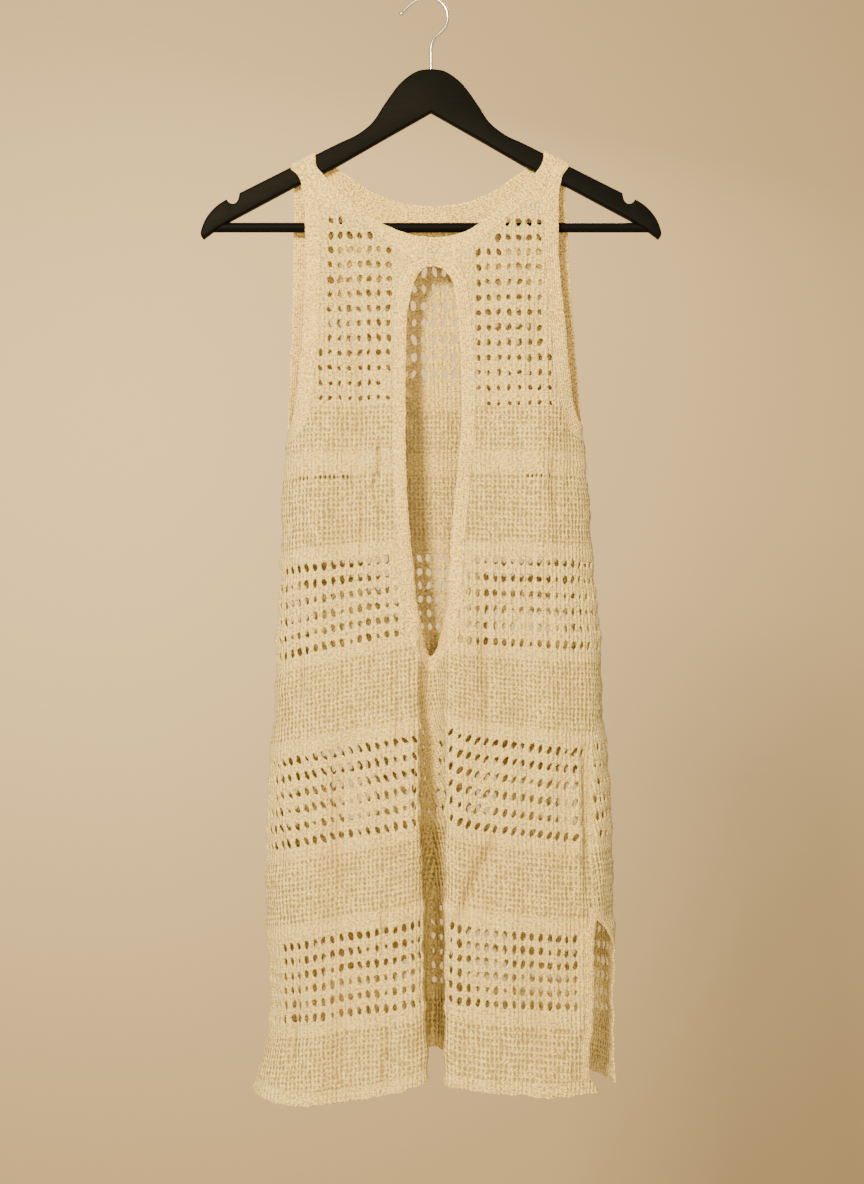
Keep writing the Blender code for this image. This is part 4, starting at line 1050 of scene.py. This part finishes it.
def cut_lines(side, outlines):
    """The lines that one side's pieces are cut along, in cloth coordinates."""
    head = SLIT_TOP - SLIT_BAND_HEAD
    hem_top = hem_line(side, outlines, HEM_BAND)
    lines = {"neck": uneven(neck_line(side, outlines["neck"]), *NECK_UNEVEN),
             "hem_top": hem_top, "hem": uneven(hem_line(side, outlines, 0), *HEM_UNEVEN)}
    for hand, strap, inward, corner, inner_corner in (
            ("left", STRAP_LEFT, side.sign, 0, SLIT_POINTS),
            ("right", STRAP_RIGHT, -side.sign, -1, -1 - SLIT_POINTS)):
        turn = RING_COLUMNS.index("turn_" + hand)
        seam = [(row[0], row[turn]) for row in RING_ROWS]
        slit = outlines["slit_" + hand]
        slit_end = -hem_top[corner][1]
        underarm = UNDERARM[hand]
        under = edge_line(side, hand, seam, underarm, underarm + ARMHOLE_BAND)
        lines["strap_" + hand] = strap_line(side, strap[1], outlines["strap_" + hand])
        lines["armhole_" + hand] = uneven(
            strap_line(side, strap[0], outlines["armhole_" + hand]), *ARMHOLE_UNEVEN)
        lines["underarm_" + hand] = under
        lines["inner_" + hand] = cloth_line(side, outlines["inner_" + hand]) + under[-1:]
        lines["side_" + hand] = edge_line(side, hand, seam, underarm + ARMHOLE_BAND, head)
        lines["head_" + hand] = edge_line(side, hand, seam, head, SLIT_TOP)
        lines["slit_" + hand] = uneven(edge_line(side, hand, slit, SLIT_TOP, slit_end),
                                       *SLIT_UNEVEN)
        lines["slit_inner_" + hand] = edge_line(
            side, hand, slit, head, slit_end - 3, inward * SLIT_BAND) + [hem_top[inner_corner]]
    return lines


def panel_outline(lines, *top):
    """The outline of a panel: its top from left to right, then down the right side and back."""
    return joined(*top, lines["inner_right"], lines["side_right"], lines["slit_inner_right"],
                  lines["hem_top"][SLIT_POINTS + 1:-1 - SLIT_POINTS][::-1],
                  lines["slit_inner_left"][::-1], lines["side_left"][::-1],
                  lines["inner_left"][::-1])


EYELET_POINTS = 8
UNEVEN_ACROSS = (0.72, 1.15, EYELET_POINTS)
UNEVEN_UP = (0.84, 1.12, EYELET_POINTS)


def eyelet(centre, width, height, lean=0.0, random=None):
    """The outline of one eyelet, which may lean to one side and be uneven."""
    angles = np.arange(EYELET_POINTS) * math.pi / 4 + math.pi / 8
    across, up = np.cos(angles) * width / 2, np.sin(angles) * height / 2
    if random is not None:
        across, up = across * random.uniform(*UNEVEN_ACROSS), up * random.uniform(*UNEVEN_UP)
    return np.asarray(centre) + np.column_stack((across + lean * up, up))


def clear_ones(found, outline, margin):
    """The eyelets whose middles lie inside an outline and clear of it."""
    clearance = nearest(middles(found), resample(outline, 1.0))[1]
    fits = inside(middles(found), outline) & (clearance > margin)
    return [hole for hole, fit in zip(found, fits) if fit]


# A yoke's eyelets: the first one's x, how many a row and their step, the first row's drop, how many
# rows and their step, an eyelet's width and height, and how many of the last rows fade.
FRONT_YOKES = ((-37.5, 8, -9.4, 219, 13, 14.4, 6.2, 8.4, 4),
               (49, 8, 9.8, 221, 13, 14.7, 6.2, 8.4, 4))
YOKE_CLEARANCE = 3.4
YOKE_WOBBLE = (-0.6, 0.6, 2)
YOKE_SHARES = (0.7, 1.05, 2)
YOKE_LEAN = (-0.3, 0.3)
FADED_SIZE = 0.55
FADING_RANGE = 0.45


def yoke_eyelets(side, yoke, random):
    """Rows of eyelets across a yoke. The last rows may fade to small ones."""
    first_x, columns, step, first_drop, rows, row_step, width, height, fading = yoke
    found = []
    for row in range(rows):
        drop = first_drop + row * row_step
        start, level = side.from_x(first_x, drop)
        size = 1.0
        if rows - row <= fading:
            size = FADED_SIZE + FADING_RANGE * (rows - row) / (fading + 1)
        for number in range(columns):
            wobble = random.uniform(*YOKE_WOBBLE)
            sizes = np.array((width, height)) * size * random.uniform(*YOKE_SHARES)
            found.append(eyelet((start + number * step, level) + wobble, *sizes,
                                random.uniform(*YOKE_LEAN), random))
    return found


# The bands' eyelets lie in six rows each. In the lowest band two columns of larger ones stand on the
# floor of the fold, where the light comes through them.
BAND_EYELET_ROWS = ((545, 613), (718, 797), (894, 967))
ROWS_A_BAND = 6
BAND_EYELET_STEP = 8.6
BAND_EYELET = (5.5, 8.9)
BAND_CLEARANCE = 4.8
BAND_WOBBLE = (-0.35, 0.35, 2)
BAND_SHARES = (0.8, 1.08, 2)
BAND_LEAN = (-0.2, 0.2)
SMALL_CHANCE = 0.1
SMALL_SHARE = 0.6
MOST_ACROSS = 60
LOWEST_BAND = 894
FOLD_FLOOR_COLUMNS = (-1.4, 7.2)
FOLD_FLOOR_HALF_WIDTH = 13
FOLD_SEAM_HALF_WIDTH = 3.5
FOLD_FLOOR_RAISED = 3


def band_eyelets(side, hand, reach, size, random):
    """The eyelets of the three bands, on one half of the front or across the back."""
    width, height = size
    found = []
    half_step = 0 if side.name == "back" else 0.5
    for first, last in BAND_EYELET_ROWS:
        on_floor = side.name == "front" and first == LOWEST_BAND
        kept_clear = FOLD_FLOOR_HALF_WIDTH if on_floor else FOLD_SEAM_HALF_WIDTH
        for course in np.linspace(first, last, ROWS_A_BAND):
            for number in range(-reach, reach):
                centre = cloth_at(side, hand, (number + half_step) * BAND_EYELET_STEP, course)
                if side.name == "front" and ((centre[0] > 0) != (hand == "right")
                                             or abs(centre[0]) < kept_clear):
                    continue
                shares = (random.uniform(*BAND_SHARES)
                          * (SMALL_SHARE if random.random() < SMALL_CHANCE else 1))
                found.append(eyelet(centre + random.uniform(*BAND_WOBBLE), width * shares[0],
                                    height * shares[1], random.uniform(*BAND_LEAN), random))
            if on_floor and hand == "right":
                found += [eyelet((across, FOLD_FLOOR_RAISED - course), width, height)
                          for across in FOLD_FLOOR_COLUMNS]
    return found


# Small slits in broken rows, one to a wale.
SLIT_ROW_COURSE = 465
SLIT_ROW_STEP = 4.3
SLIT_WIDTH = 1.7
SLIT_HEIGHTS = (3.2, 4.6)
SLIT_WOBBLE = (-0.3, 0.3, 2)
SLIT_CHANCE = 0.6
SLIT_CLEARANCE = 3.5
SLIT_ROWS = (("left", -128, -76), ("right", 96, 150))


def slits(side, hand, low, high, random):
    """A broken row of small slits along its course, between two wales."""
    found = []
    for wale in np.arange(low, high, SLIT_ROW_STEP):
        centre = cloth_at(side, hand, wale, SLIT_ROW_COURSE)
        if (centre[0] > 0) == (hand == "right") and random.random() < SLIT_CHANCE:
            centre = centre + random.uniform(*SLIT_WOBBLE)
            found.append(eyelet(centre, SLIT_WIDTH, random.uniform(*SLIT_HEIGHTS)))
    return found


# The yarn: V stitches in wales and courses, a little uneven; and the pits of the waffle.
stitches, given, made = new_group(
    "knit_stitches",
    [("Place", "Vector", None), ("Wale", "Float", 4.3), ("Course", "Float", 2.5),
     ("Slant", "Float", 0.6), ("Wobble", "Float", 0.8)],
    [("Height", "Float"), ("Groove", "Float")])
soft = noise(stitches, 0.11, 3.0, [("Vector", given.outputs["Place"])], True).outputs["Color"]
sway = vector_maths(stitches, "SUBTRACT", ((0, soft), (1, (0.5, 0.5, 0.5))))
wobble = maths(stitches, "MULTIPLY", given.outputs["Wobble"], 3.0)
swayed = vector_maths(stitches, "SCALE", ((0, sway), ("Scale", wobble)))
moved = vector_maths(stitches, "ADD", ((0, swayed), (1, given.outputs["Place"])))
parts = node(stitches, "ShaderNodeSeparateXYZ", inputs=[("Vector", moved)])
in_wale = maths(stitches, "FRACT", maths(stitches, "DIVIDE", parts.outputs["X"], given.outputs["Wale"]))
off_middle = maths(stitches, "MULTIPLY",
                   maths(stitches, "ABSOLUTE", maths(stitches, "SUBTRACT", in_wale, 0.5)), 2.0)
rise = maths(stitches, "DIVIDE", parts.outputs["Y"], given.outputs["Course"])
leg = maths(stitches, "MULTIPLY_ADD", off_middle, given.outputs["Slant"], rise)
wave = maths(stitches, "COSINE", maths(stitches, "MULTIPLY", leg, 2 * math.pi))
groove = maths(stitches, "POWER", off_middle, 1.7)
rib = maths(stitches, "SUBTRACT", 1.0, groove)
height = maths(stitches, "MULTIPLY", rib, maths(stitches, "MULTIPLY_ADD", wave, 0.4, 0.6))
between_legs = maths(stitches, "MULTIPLY_ADD", wave, -0.4, 0.4)
# Groove marks the hollows between the ribs and between a stitch's legs; the materials paint shade
# there.
feed(made, Height=height, Groove=maths(stitches, "MAXIMUM", groove, between_legs))

pits, given, made = new_group(
    "waffle_pits",
    [("Place", "Vector", None), ("Across", "Float", 4.3), ("Down", "Float", 5.0),
     ("Pit width", "Float", 1.5), ("Pit height", "Float", 2.6)],
    [("Pit", "Float"), ("Core", "Float")])
soft = noise(pits, 0.09, 2.0, [("Vector", given.outputs["Place"])], True).outputs["Color"]
moved = vector_maths(pits, "MULTIPLY_ADD",
                     ((0, soft), (1, (3.0, 3.0, 0.0)), (2, given.outputs["Place"])))
parts = node(pits, "ShaderNodeSeparateXYZ", inputs=[("Vector", moved)])
cells_across = maths(pits, "DIVIDE", parts.outputs["X"], given.outputs["Across"])
cells_down = maths(pits, "DIVIDE", parts.outputs["Y"], given.outputs["Down"])
cell = node(pits, "ShaderNodeCombineXYZ", inputs=[
    ("X", maths(pits, "FLOOR", cells_across)), ("Y", maths(pits, "FLOOR", cells_down))])
chance = node(pits, "ShaderNodeTexWhiteNoise", [("noise_dimensions", "2D")],
              [("Vector", cell.outputs[0])]).outputs["Value"]
sizes = []
for share, step, size in ((cells_across, "Across", "Pit width"), (cells_down, "Down", "Pit height")):
    off = maths(pits, "SUBTRACT", maths(pits, "FRACT", share), 0.5)
    off = maths(pits, "MULTIPLY", off, given.outputs[step])
    off = maths(pits, "DIVIDE", maths(pits, "MULTIPLY", off, 2.0), given.outputs[size])
    sizes.append(maths(pits, "MULTIPLY", off, off))
reach = maths(pits, "SQRT", maths(pits, "ADD", *sizes))
reach = maths(pits, "DIVIDE", reach, maths(pits, "MULTIPLY_ADD", chance, 0.7, 0.65))
for name, start, end in (("Pit", 0.6, 1.7), ("Core", 0.7, 0.9)):
    sunk = node(pits, "ShaderNodeMapRange", [("interpolation_type", "SMOOTHSTEP")], [
        ("Value", reach), ("From Min", start), ("From Max", end), ("To Min", 1.0), ("To Max", 0.0)])
    pits.links.new(sunk.outputs[0], made.inputs[name])

# Spun cotton: a fleck of light and dark yarn, and the broader unevenness of the dye.
fleck, given, made = new_group(
    "cotton_fleck", [("Place", "Vector", None), ("Light", "Color", (0.9, 0.7, 0.3, 1)),
                     ("Dark", "Color", (0.8, 0.6, 0.25, 1)), ("Size", "Float", 0.42)],
    [("Color", "Color"), ("Height", "Float")])
fine = noise(fleck, given.outputs["Size"], 3.0, [
    ("Vector", given.outputs["Place"]), ("Roughness", 0.7)], True).outputs["Fac"]
broad = noise(fleck, 0.03, 2.0, [("Vector", given.outputs["Place"])], True).outputs["Fac"]
spread = node(fleck, "ShaderNodeMapRange", inputs=[
    ("Value", fine), ("From Min", 0.38), ("From Max", 0.56), ("To Min", 0.0), ("To Max", 0.85)])
share = maths(fleck, "MULTIPLY_ADD", broad, 0.3, spread.outputs[0])
feed(made, Height=fine, Color=colour_between(
    fleck, share, given.outputs["Dark"], given.outputs["Light"]))

COTTON_SOCKETS = (("Sheen Weight", 0.08), ("Specular IOR Level", 0.2), ("Subsurface Weight", 0.65),
                  ("Subsurface Scale", 0.003), ("Subsurface Radius", (1.0, 0.9, 0.7)))


def new_knit(name, stitch, cotton):
    """A cotton material, and the nodes of its stitches' place, its stitches and its cotton."""
    material, tree, shader = new_material(name, 0.92, COTTON_SOCKETS)
    place = node(tree, "ShaderNodeUVMap", [("uv_map", "stitches")]).outputs[0]
    yarn = node(tree, "ShaderNodeGroup", [("node_tree", stitches)], [("Place", place), *stitch])
    spun = node(tree, "ShaderNodeGroup", [("node_tree", fleck)], [("Place", place), *cotton])
    return material, tree, shader, place, yarn, spun


# The panels' knit: the waffle's pits sink in and let light through at their cores. Shade is painted
# into the grooves between ribs and stitch legs, into the pits, and into the creases and fold valleys.
cotton_knit, tree, shader, place, yarn, spun = new_knit(
    "cotton_knit", (("Wale", 4.3), ("Course", 2.5), ("Slant", 0.6), ("Wobble", 0.6)),
    (("Light", (1.0, 0.83, 0.41, 1)), ("Dark", (0.34, 0.25, 0.08, 1)), ("Size", 0.42)))
waffle = node(tree, "ShaderNodeGroup", [("node_tree", pits)], [
    ("Place", place), ("Across", 4.3), ("Down", 5.0), ("Pit width", 2.1), ("Pit height", 3.6)])
mask = node(tree, "ShaderNodeAttribute", [("attribute_name", "waffle")]).outputs["Fac"]
sunk = maths(tree, "MULTIPLY", waffle.outputs["Pit"], maths(tree, "MULTIPLY_ADD", mask, 0.5, 0.5))
open_pit = maths(tree, "MULTIPLY", waffle.outputs["Core"], mask)
height = maths(tree, "SUBTRACT", maths(tree, "ADD", yarn.outputs["Height"], spun.outputs["Height"]),
               maths(tree, "MULTIPLY", sunk, 1.4))
add_bump(tree, shader, height, 0.0019)
# Painted shade: the grooves and the pits darken toward a dark olive shade colour, where shade falls in
# them.
deep = maths(tree, "MAXIMUM", maths(tree, "MULTIPLY", yarn.outputs["Groove"], 0.56),
             maths(tree, "MULTIPLY", sunk, 0.88))
# Painted shade: the crease attribute darkens the colour toward a shade brown in creases and fold
# valleys.
crease = node(tree, "ShaderNodeAttribute", [("attribute_name", "crease")]).outputs["Fac"]
yarn_with_painted_shade = colour_between(tree, deep, spun.outputs["Color"], (0.38, 0.30, 0.11, 1))
painted_fold_shade = maths(tree, "MULTIPLY", crease, 0.42)
feed(shader, Base_Color=colour_between(tree, painted_fold_shade, yarn_with_painted_shade, (0.46, 0.34, 0.13, 1)),
     Alpha=maths(tree, "SUBTRACT", 1.0, maths(tree, "MULTIPLY", open_pit, 0.4)))

# The bands' knit: plain and closer, with shade painted into the grooves between ribs and stitch legs.
plain_knit, tree, shader, place, yarn, spun = new_knit(
    "plain_knit_band", (("Wale", 2.8), ("Course", 2.4), ("Slant", 0.3), ("Wobble", 0.5)),
    (("Light", (0.99, 0.79, 0.355, 1)), ("Dark", (0.30, 0.21, 0.07, 1)), ("Size", 0.45)))
add_bump(tree, shader, maths(tree, "ADD", yarn.outputs["Height"], spun.outputs["Height"]), 0.0016)
# Painted shade: the grooves darken toward a dark olive shade colour.
deep = maths(tree, "MULTIPLY", yarn.outputs["Groove"], 0.45)
feed(shader, Base_Color=colour_between(tree, deep, spun.outputs["Color"], (0.43, 0.33, 0.13, 1)))

front = cut_lines(FRONT, FRONT_OUTLINES)
front_neckband_left = cloth_line(FRONT, FRONT_NECKBAND_LEFT)
front_neckband_right = cloth_line(FRONT, FRONT_NECKBAND_RIGHT)
neckband_arch = cloth_line(FRONT, FRONT_NECKBAND_ARCH)
keyhole_line = resample(catmull_rom(KEYHOLE, True), EDGE_STEP)[:-1]
keyhole_edge = uneven([FRONT.from_x(*point) for point in keyhole_line], *KEYHOLE_UNEVEN)
keyhole_seam = cloth_line(FRONT, KEYHOLE_BAND)

# The front panel itself, with its eyelets cut through and its waffle and plain courses raised.
WAFFLE_ROWS = ((398, 443), (461, 529), (627, 700), (811, 876), (981, 1050))
COURSE_RIDGES = ((450, 5.5, 0.9), (536, 6, 1.0), (706, 4, 0.6), (882, 4, 0.6))
FRONT_SPACING = 3.2
FRONT_EYELET_SEED = 5
random = np.random.default_rng(FRONT_EYELET_SEED)
outline = panel_outline(front, front_neckband_left, keyhole_seam, front_neckband_right)
yokes = [hole for yoke in FRONT_YOKES for hole in yoke_eyelets(FRONT, yoke, random)]
bands = [hole for hand in ("left", "right")
         for hole in band_eyelets(FRONT, hand, MOST_ACROSS, BAND_EYELET, random)]
small = [hole for hand, low, high in SLIT_ROWS for hole in slits(FRONT, hand, low, high, random)]
eyelets = (clear_ones(yokes, outline, YOKE_CLEARANCE) + clear_ones(bands, outline, BAND_CLEARANCE)
           + clear_ones(small, outline, SLIT_CLEARANCE))
front_panel = knit_piece("front_panel", FRONT, outline, cotton_knit, eyelets,
                         FRONT_SPACING, ridges=COURSE_RIDGES, waffles=WAFFLE_ROWS)


# ---------------------------------------------------------------- the back panel
# The same knit as the front in one flat width: eyelets over the shoulder blades, then the same
# bands lower down.
BACK_OUTLINES = {
    "neck": ((-100, 158), (-80, 169), (-55, 185), (-28, 195), (4, 199), (38, 195), (64, 185),
             (88, 169), (108, 158)),
    "strap_left": ((-114, 172), (-108, 190)),
    "strap_right": ((119, 172), (114, 190)),
    "armhole_left": ((-131, 184), (-132, 233), (-133, 292), (-134, 340), (-135, 390), (-136, 412)),
    "armhole_right": ((135, 184), (138, 233), (142, 292), (145, 340), (148, 385), (150, 406)),
    "inner_left": ((-108, 190), (-115, 225), (-118, 290), (-119, 340), (-121, 390), (-127, 422)),
    "inner_right": ((114, 190), (121, 225), (126, 290), (129, 340), (132, 385), (140, 417)),
    "slit_left": ((892, 12), (912, 28), (945, 34), (1000, 38), (1030, 40), (1058, 42)),
    "slit_right": ((892, 44), (905, 28), (923, 8), (943, 0), (960, -6), (980, -9), (1010, -2),
                   (1035, -7), (1058, 0)),
    "hem": ((0, 1058), (0.2, 1055), (0.36, 1042), (0.5, 1033), (0.64, 1040), (0.8, 1054),
            (1, 1058)),
}
BACK_NECKBAND = ((-108, 190), (-85, 203), (-58, 217), (-28, 227), (4, 230), (38, 227), (68, 217),
                 (94, 203), (114, 190))
BACK_YOKE = (-94.5, 21, 10.1, 263, 7, 16.6, 6.4, 10.6, 0)
BACK_YOKE_CLEARANCE = 5
BACK_BAND_EYELET = (5.8, 9.0)
MOST_ACROSS_BACK = 30
BACK_SPACING = 3.4
BACK_EYELET_SEED = 9
back = cut_lines(BACK, BACK_OUTLINES)
back_neckband_seam = cloth_line(BACK, BACK_NECKBAND)
random = np.random.default_rng(BACK_EYELET_SEED)
outline = panel_outline(back, back_neckband_seam)
eyelets = clear_ones(yoke_eyelets(BACK, BACK_YOKE, random), outline, BACK_YOKE_CLEARANCE)
eyelets += clear_ones(band_eyelets(BACK, "back", MOST_ACROSS_BACK, BACK_BAND_EYELET, random),
                      outline, BAND_CLEARANCE)
back_panel = knit_piece("back_panel", BACK, outline, cotton_knit, eyelets,
                        BACK_SPACING, ridges=COURSE_RIDGES, waffles=WAFFLE_ROWS)


# ---------------------------------------------------------------- the keyhole band
# A plain band picked up round the keyhole and bound off loosely, so it stands a little proud.
outline = joined(neckband_arch, keyhole_seam[::-1])
keyhole_band = knit_piece("keyhole_band", FRONT, outline, plain_knit,
                          [np.array(keyhole_edge)], proud=0.15,
                          guide=np.array(keyhole_edge + keyhole_edge[:1]))


# ---------------------------------------------------------------- the neckbands
# Two plain bands, front and back, that run up over the hanger and meet in the shoulder seams.
for side, name, lines, seam, flat, area in (
        (FRONT, "front_neckband", front,
         [front_neckband_right[::-1], neckband_arch[::-1], front_neckband_left[::-1]],
         (0.02, 0.31), 0.0052),
        (BACK, "back_neckband", back, [back_neckband_seam[::-1]], (0.035, 0.265), 0.0081)):
    outline = joined(lines["neck"], lines["strap_right"], *seam, lines["strap_left"][::-1])
    neckband = knit_piece(name, side, outline, plain_knit, proud=0.12,
                          guide=np.array(lines["neck"]), free=[lines["neck"]])


# ---------------------------------------------------------------- the armhole, slit and hem bands
# Narrow plain bands round each armhole and down each side of the slits, and a strip of the panels'
# own knit along the hem.
for side, lines, hem_length in ((FRONT, front, 0.55), (BACK, back, 0.42)):
    for hand in ("left", "right"):
        armhole = lines["armhole_" + hand]
        outline = joined(armhole, lines["underarm_" + hand], lines["inner_" + hand][::-1],
                         lines["strap_" + hand][::-1])
        armhole_band = knit_piece(side.name + "_armhole_band_" + hand, side, outline, plain_knit,
                                  proud=0.12, guide=np.array(armhole),
                                  free=[armhole])
        head, slit = lines["head_" + hand], lines["slit_" + hand]
        outline = joined(head, slit, lines["slit_inner_" + hand][::-1])
        slit_band = knit_piece(side.name + "_slit_band_" + hand, side, outline, plain_knit,
                               proud=0.1, guide=np.array(head[:-1] + slit),
                               free=[slit])
    hem, hem_top = lines["hem"], lines["hem_top"]
    hem_band = knit_piece(side.name + "_hem_band", side, joined(hem, hem_top[::-1]), cotton_knit,
                          free=[hem, [hem[0], hem_top[0]], [hem[-1], hem_top[-1]]])


# ---------------------------------------------------------------- wall and floor
# A plain matt wall well behind, so that the garment's shadow falls outside the picture, and clear
# when it is seen from behind; and a pale floor far below.
WALL_Y = 3.0
WALL_TOP = 2.2
FLOOR_Z = -2.6
STAGE_REACH = 4
FLOOR_REACH = 5
wall_paint, tree, shader = new_material("warm_wall_paint", 0.85)
roller = noise(tree, 180.0, 4.0).outputs["Fac"]
feed(shader, Base_Color=colour_between(tree, roller, (0.345, 0.268, 0.162, 1),
                                       (0.355, 0.276, 0.168, 1)))
clear = node(tree, "ShaderNodeBsdfTransparent")
behind = node(tree, "ShaderNodeNewGeometry").outputs["Backfacing"]
both = node(tree, "ShaderNodeMixShader", inputs=[
    ("Fac", behind), (1, shader.outputs[0]), (2, clear.outputs[0])])
feed(tree.nodes["Material Output"], Surface=both.outputs[0])
floor_paint, tree, shader = new_material("pale_floor", 0.8)
roller = noise(tree, 60.0, 4.0).outputs["Fac"]
feed(shader, Base_Color=colour_between(tree, roller, (0.62, 0.55, 0.45, 1), (0.66, 0.59, 0.49, 1)))
for name, corners, material in (
        ("backdrop_wall", ((-STAGE_REACH, WALL_Y, FLOOR_Z), (STAGE_REACH, WALL_Y, FLOOR_Z),
                           (STAGE_REACH, WALL_Y, WALL_TOP), (-STAGE_REACH, WALL_Y, WALL_TOP)),
         wall_paint),
        ("floor", ((-STAGE_REACH, -FLOOR_REACH, FLOOR_Z), (STAGE_REACH, -FLOOR_REACH, FLOOR_Z),
                   (STAGE_REACH, FLOOR_REACH, FLOOR_Z), (-STAGE_REACH, FLOOR_REACH, FLOOR_Z)),
         floor_paint)):
    mesh = bpy.data.meshes.new(name)
    mesh.from_pydata(corners, [], [(0, 1, 2, 3)])
    mesh.materials.append(material)
    new_object(name, mesh)


# ---------------------------------------------------------------- light
# A small soft lamp to the left of the camera and above it, a weak fill beside the camera that
# reaches into the folds, a lamp behind that lights the garment's back, one at the left edge that
# washes the wall, and warm pale air. Each has its place, aim, size in metres, power, spread in
# degrees and colour.
GARMENT_MIDDLE = (0, 0, -0.6)
LAMPS = (
    ("wall_wash", (-0.95, 0.4, -0.35), (-0.85, WALL_Y, -0.1), 0.5, 87, 130, (1.0, 0.87, 0.63)),
    ("lamp", (-0.72, -2.5, 0.35), GARMENT_MIDDLE, 0.35, 238, 180, (1.0, 0.775, 0.395)),
    ("fill", (0.1, -2.9, -0.6), GARMENT_MIDDLE, 0.45, 64, 180, (1.0, 0.785, 0.42)),
    ("back_lamp", (0.4, 2.4, 1.3), GARMENT_MIDDLE, 0.8, 110, 180, (1.0, 0.80, 0.48)),
)
for name, location, aim, size, power, spread, colour in LAMPS:
    light = bpy.data.lights.new(name, "AREA")
    light.size = size
    light.energy = power
    light.color = colour
    light.spread = math.radians(spread)
    lamp = new_object(name, light)
    lamp.location = location
    lamp.rotation_euler = (Vector(aim) - Vector(location)).to_track_quat("-Z", "Y").to_euler()
world = bpy.data.worlds.new("warm_air")
world.use_nodes = True
air = world.node_tree.nodes["Background"]
air.inputs["Color"].default_value = (1.0, 0.85, 0.60, 1)
air.inputs["Strength"].default_value = 0.7
bpy.context.scene.world = world


# ---------------------------------------------------------------- camera
# Straight in front at the height of the garment's waist, so that the hanger's plane fills the
# picture at the photo's scale.
CAMERA_X = 0.0042
CAMERA_Z = -0.5786
CAMERA_DISTANCE = 2.0
PICTURE_HALF_HEIGHT = 0.5778
lens = bpy.data.cameras.new("photo_camera")
lens.sensor_fit = "VERTICAL"
lens.angle = 2 * math.atan(PICTURE_HALF_HEIGHT / CAMERA_DISTANCE)
camera = new_object("photo_camera", lens)
camera.location = (CAMERA_X, -CAMERA_DISTANCE, CAMERA_Z)
camera.rotation_euler = (math.pi / 2, 0, 0)
bpy.context.scene.camera = camera
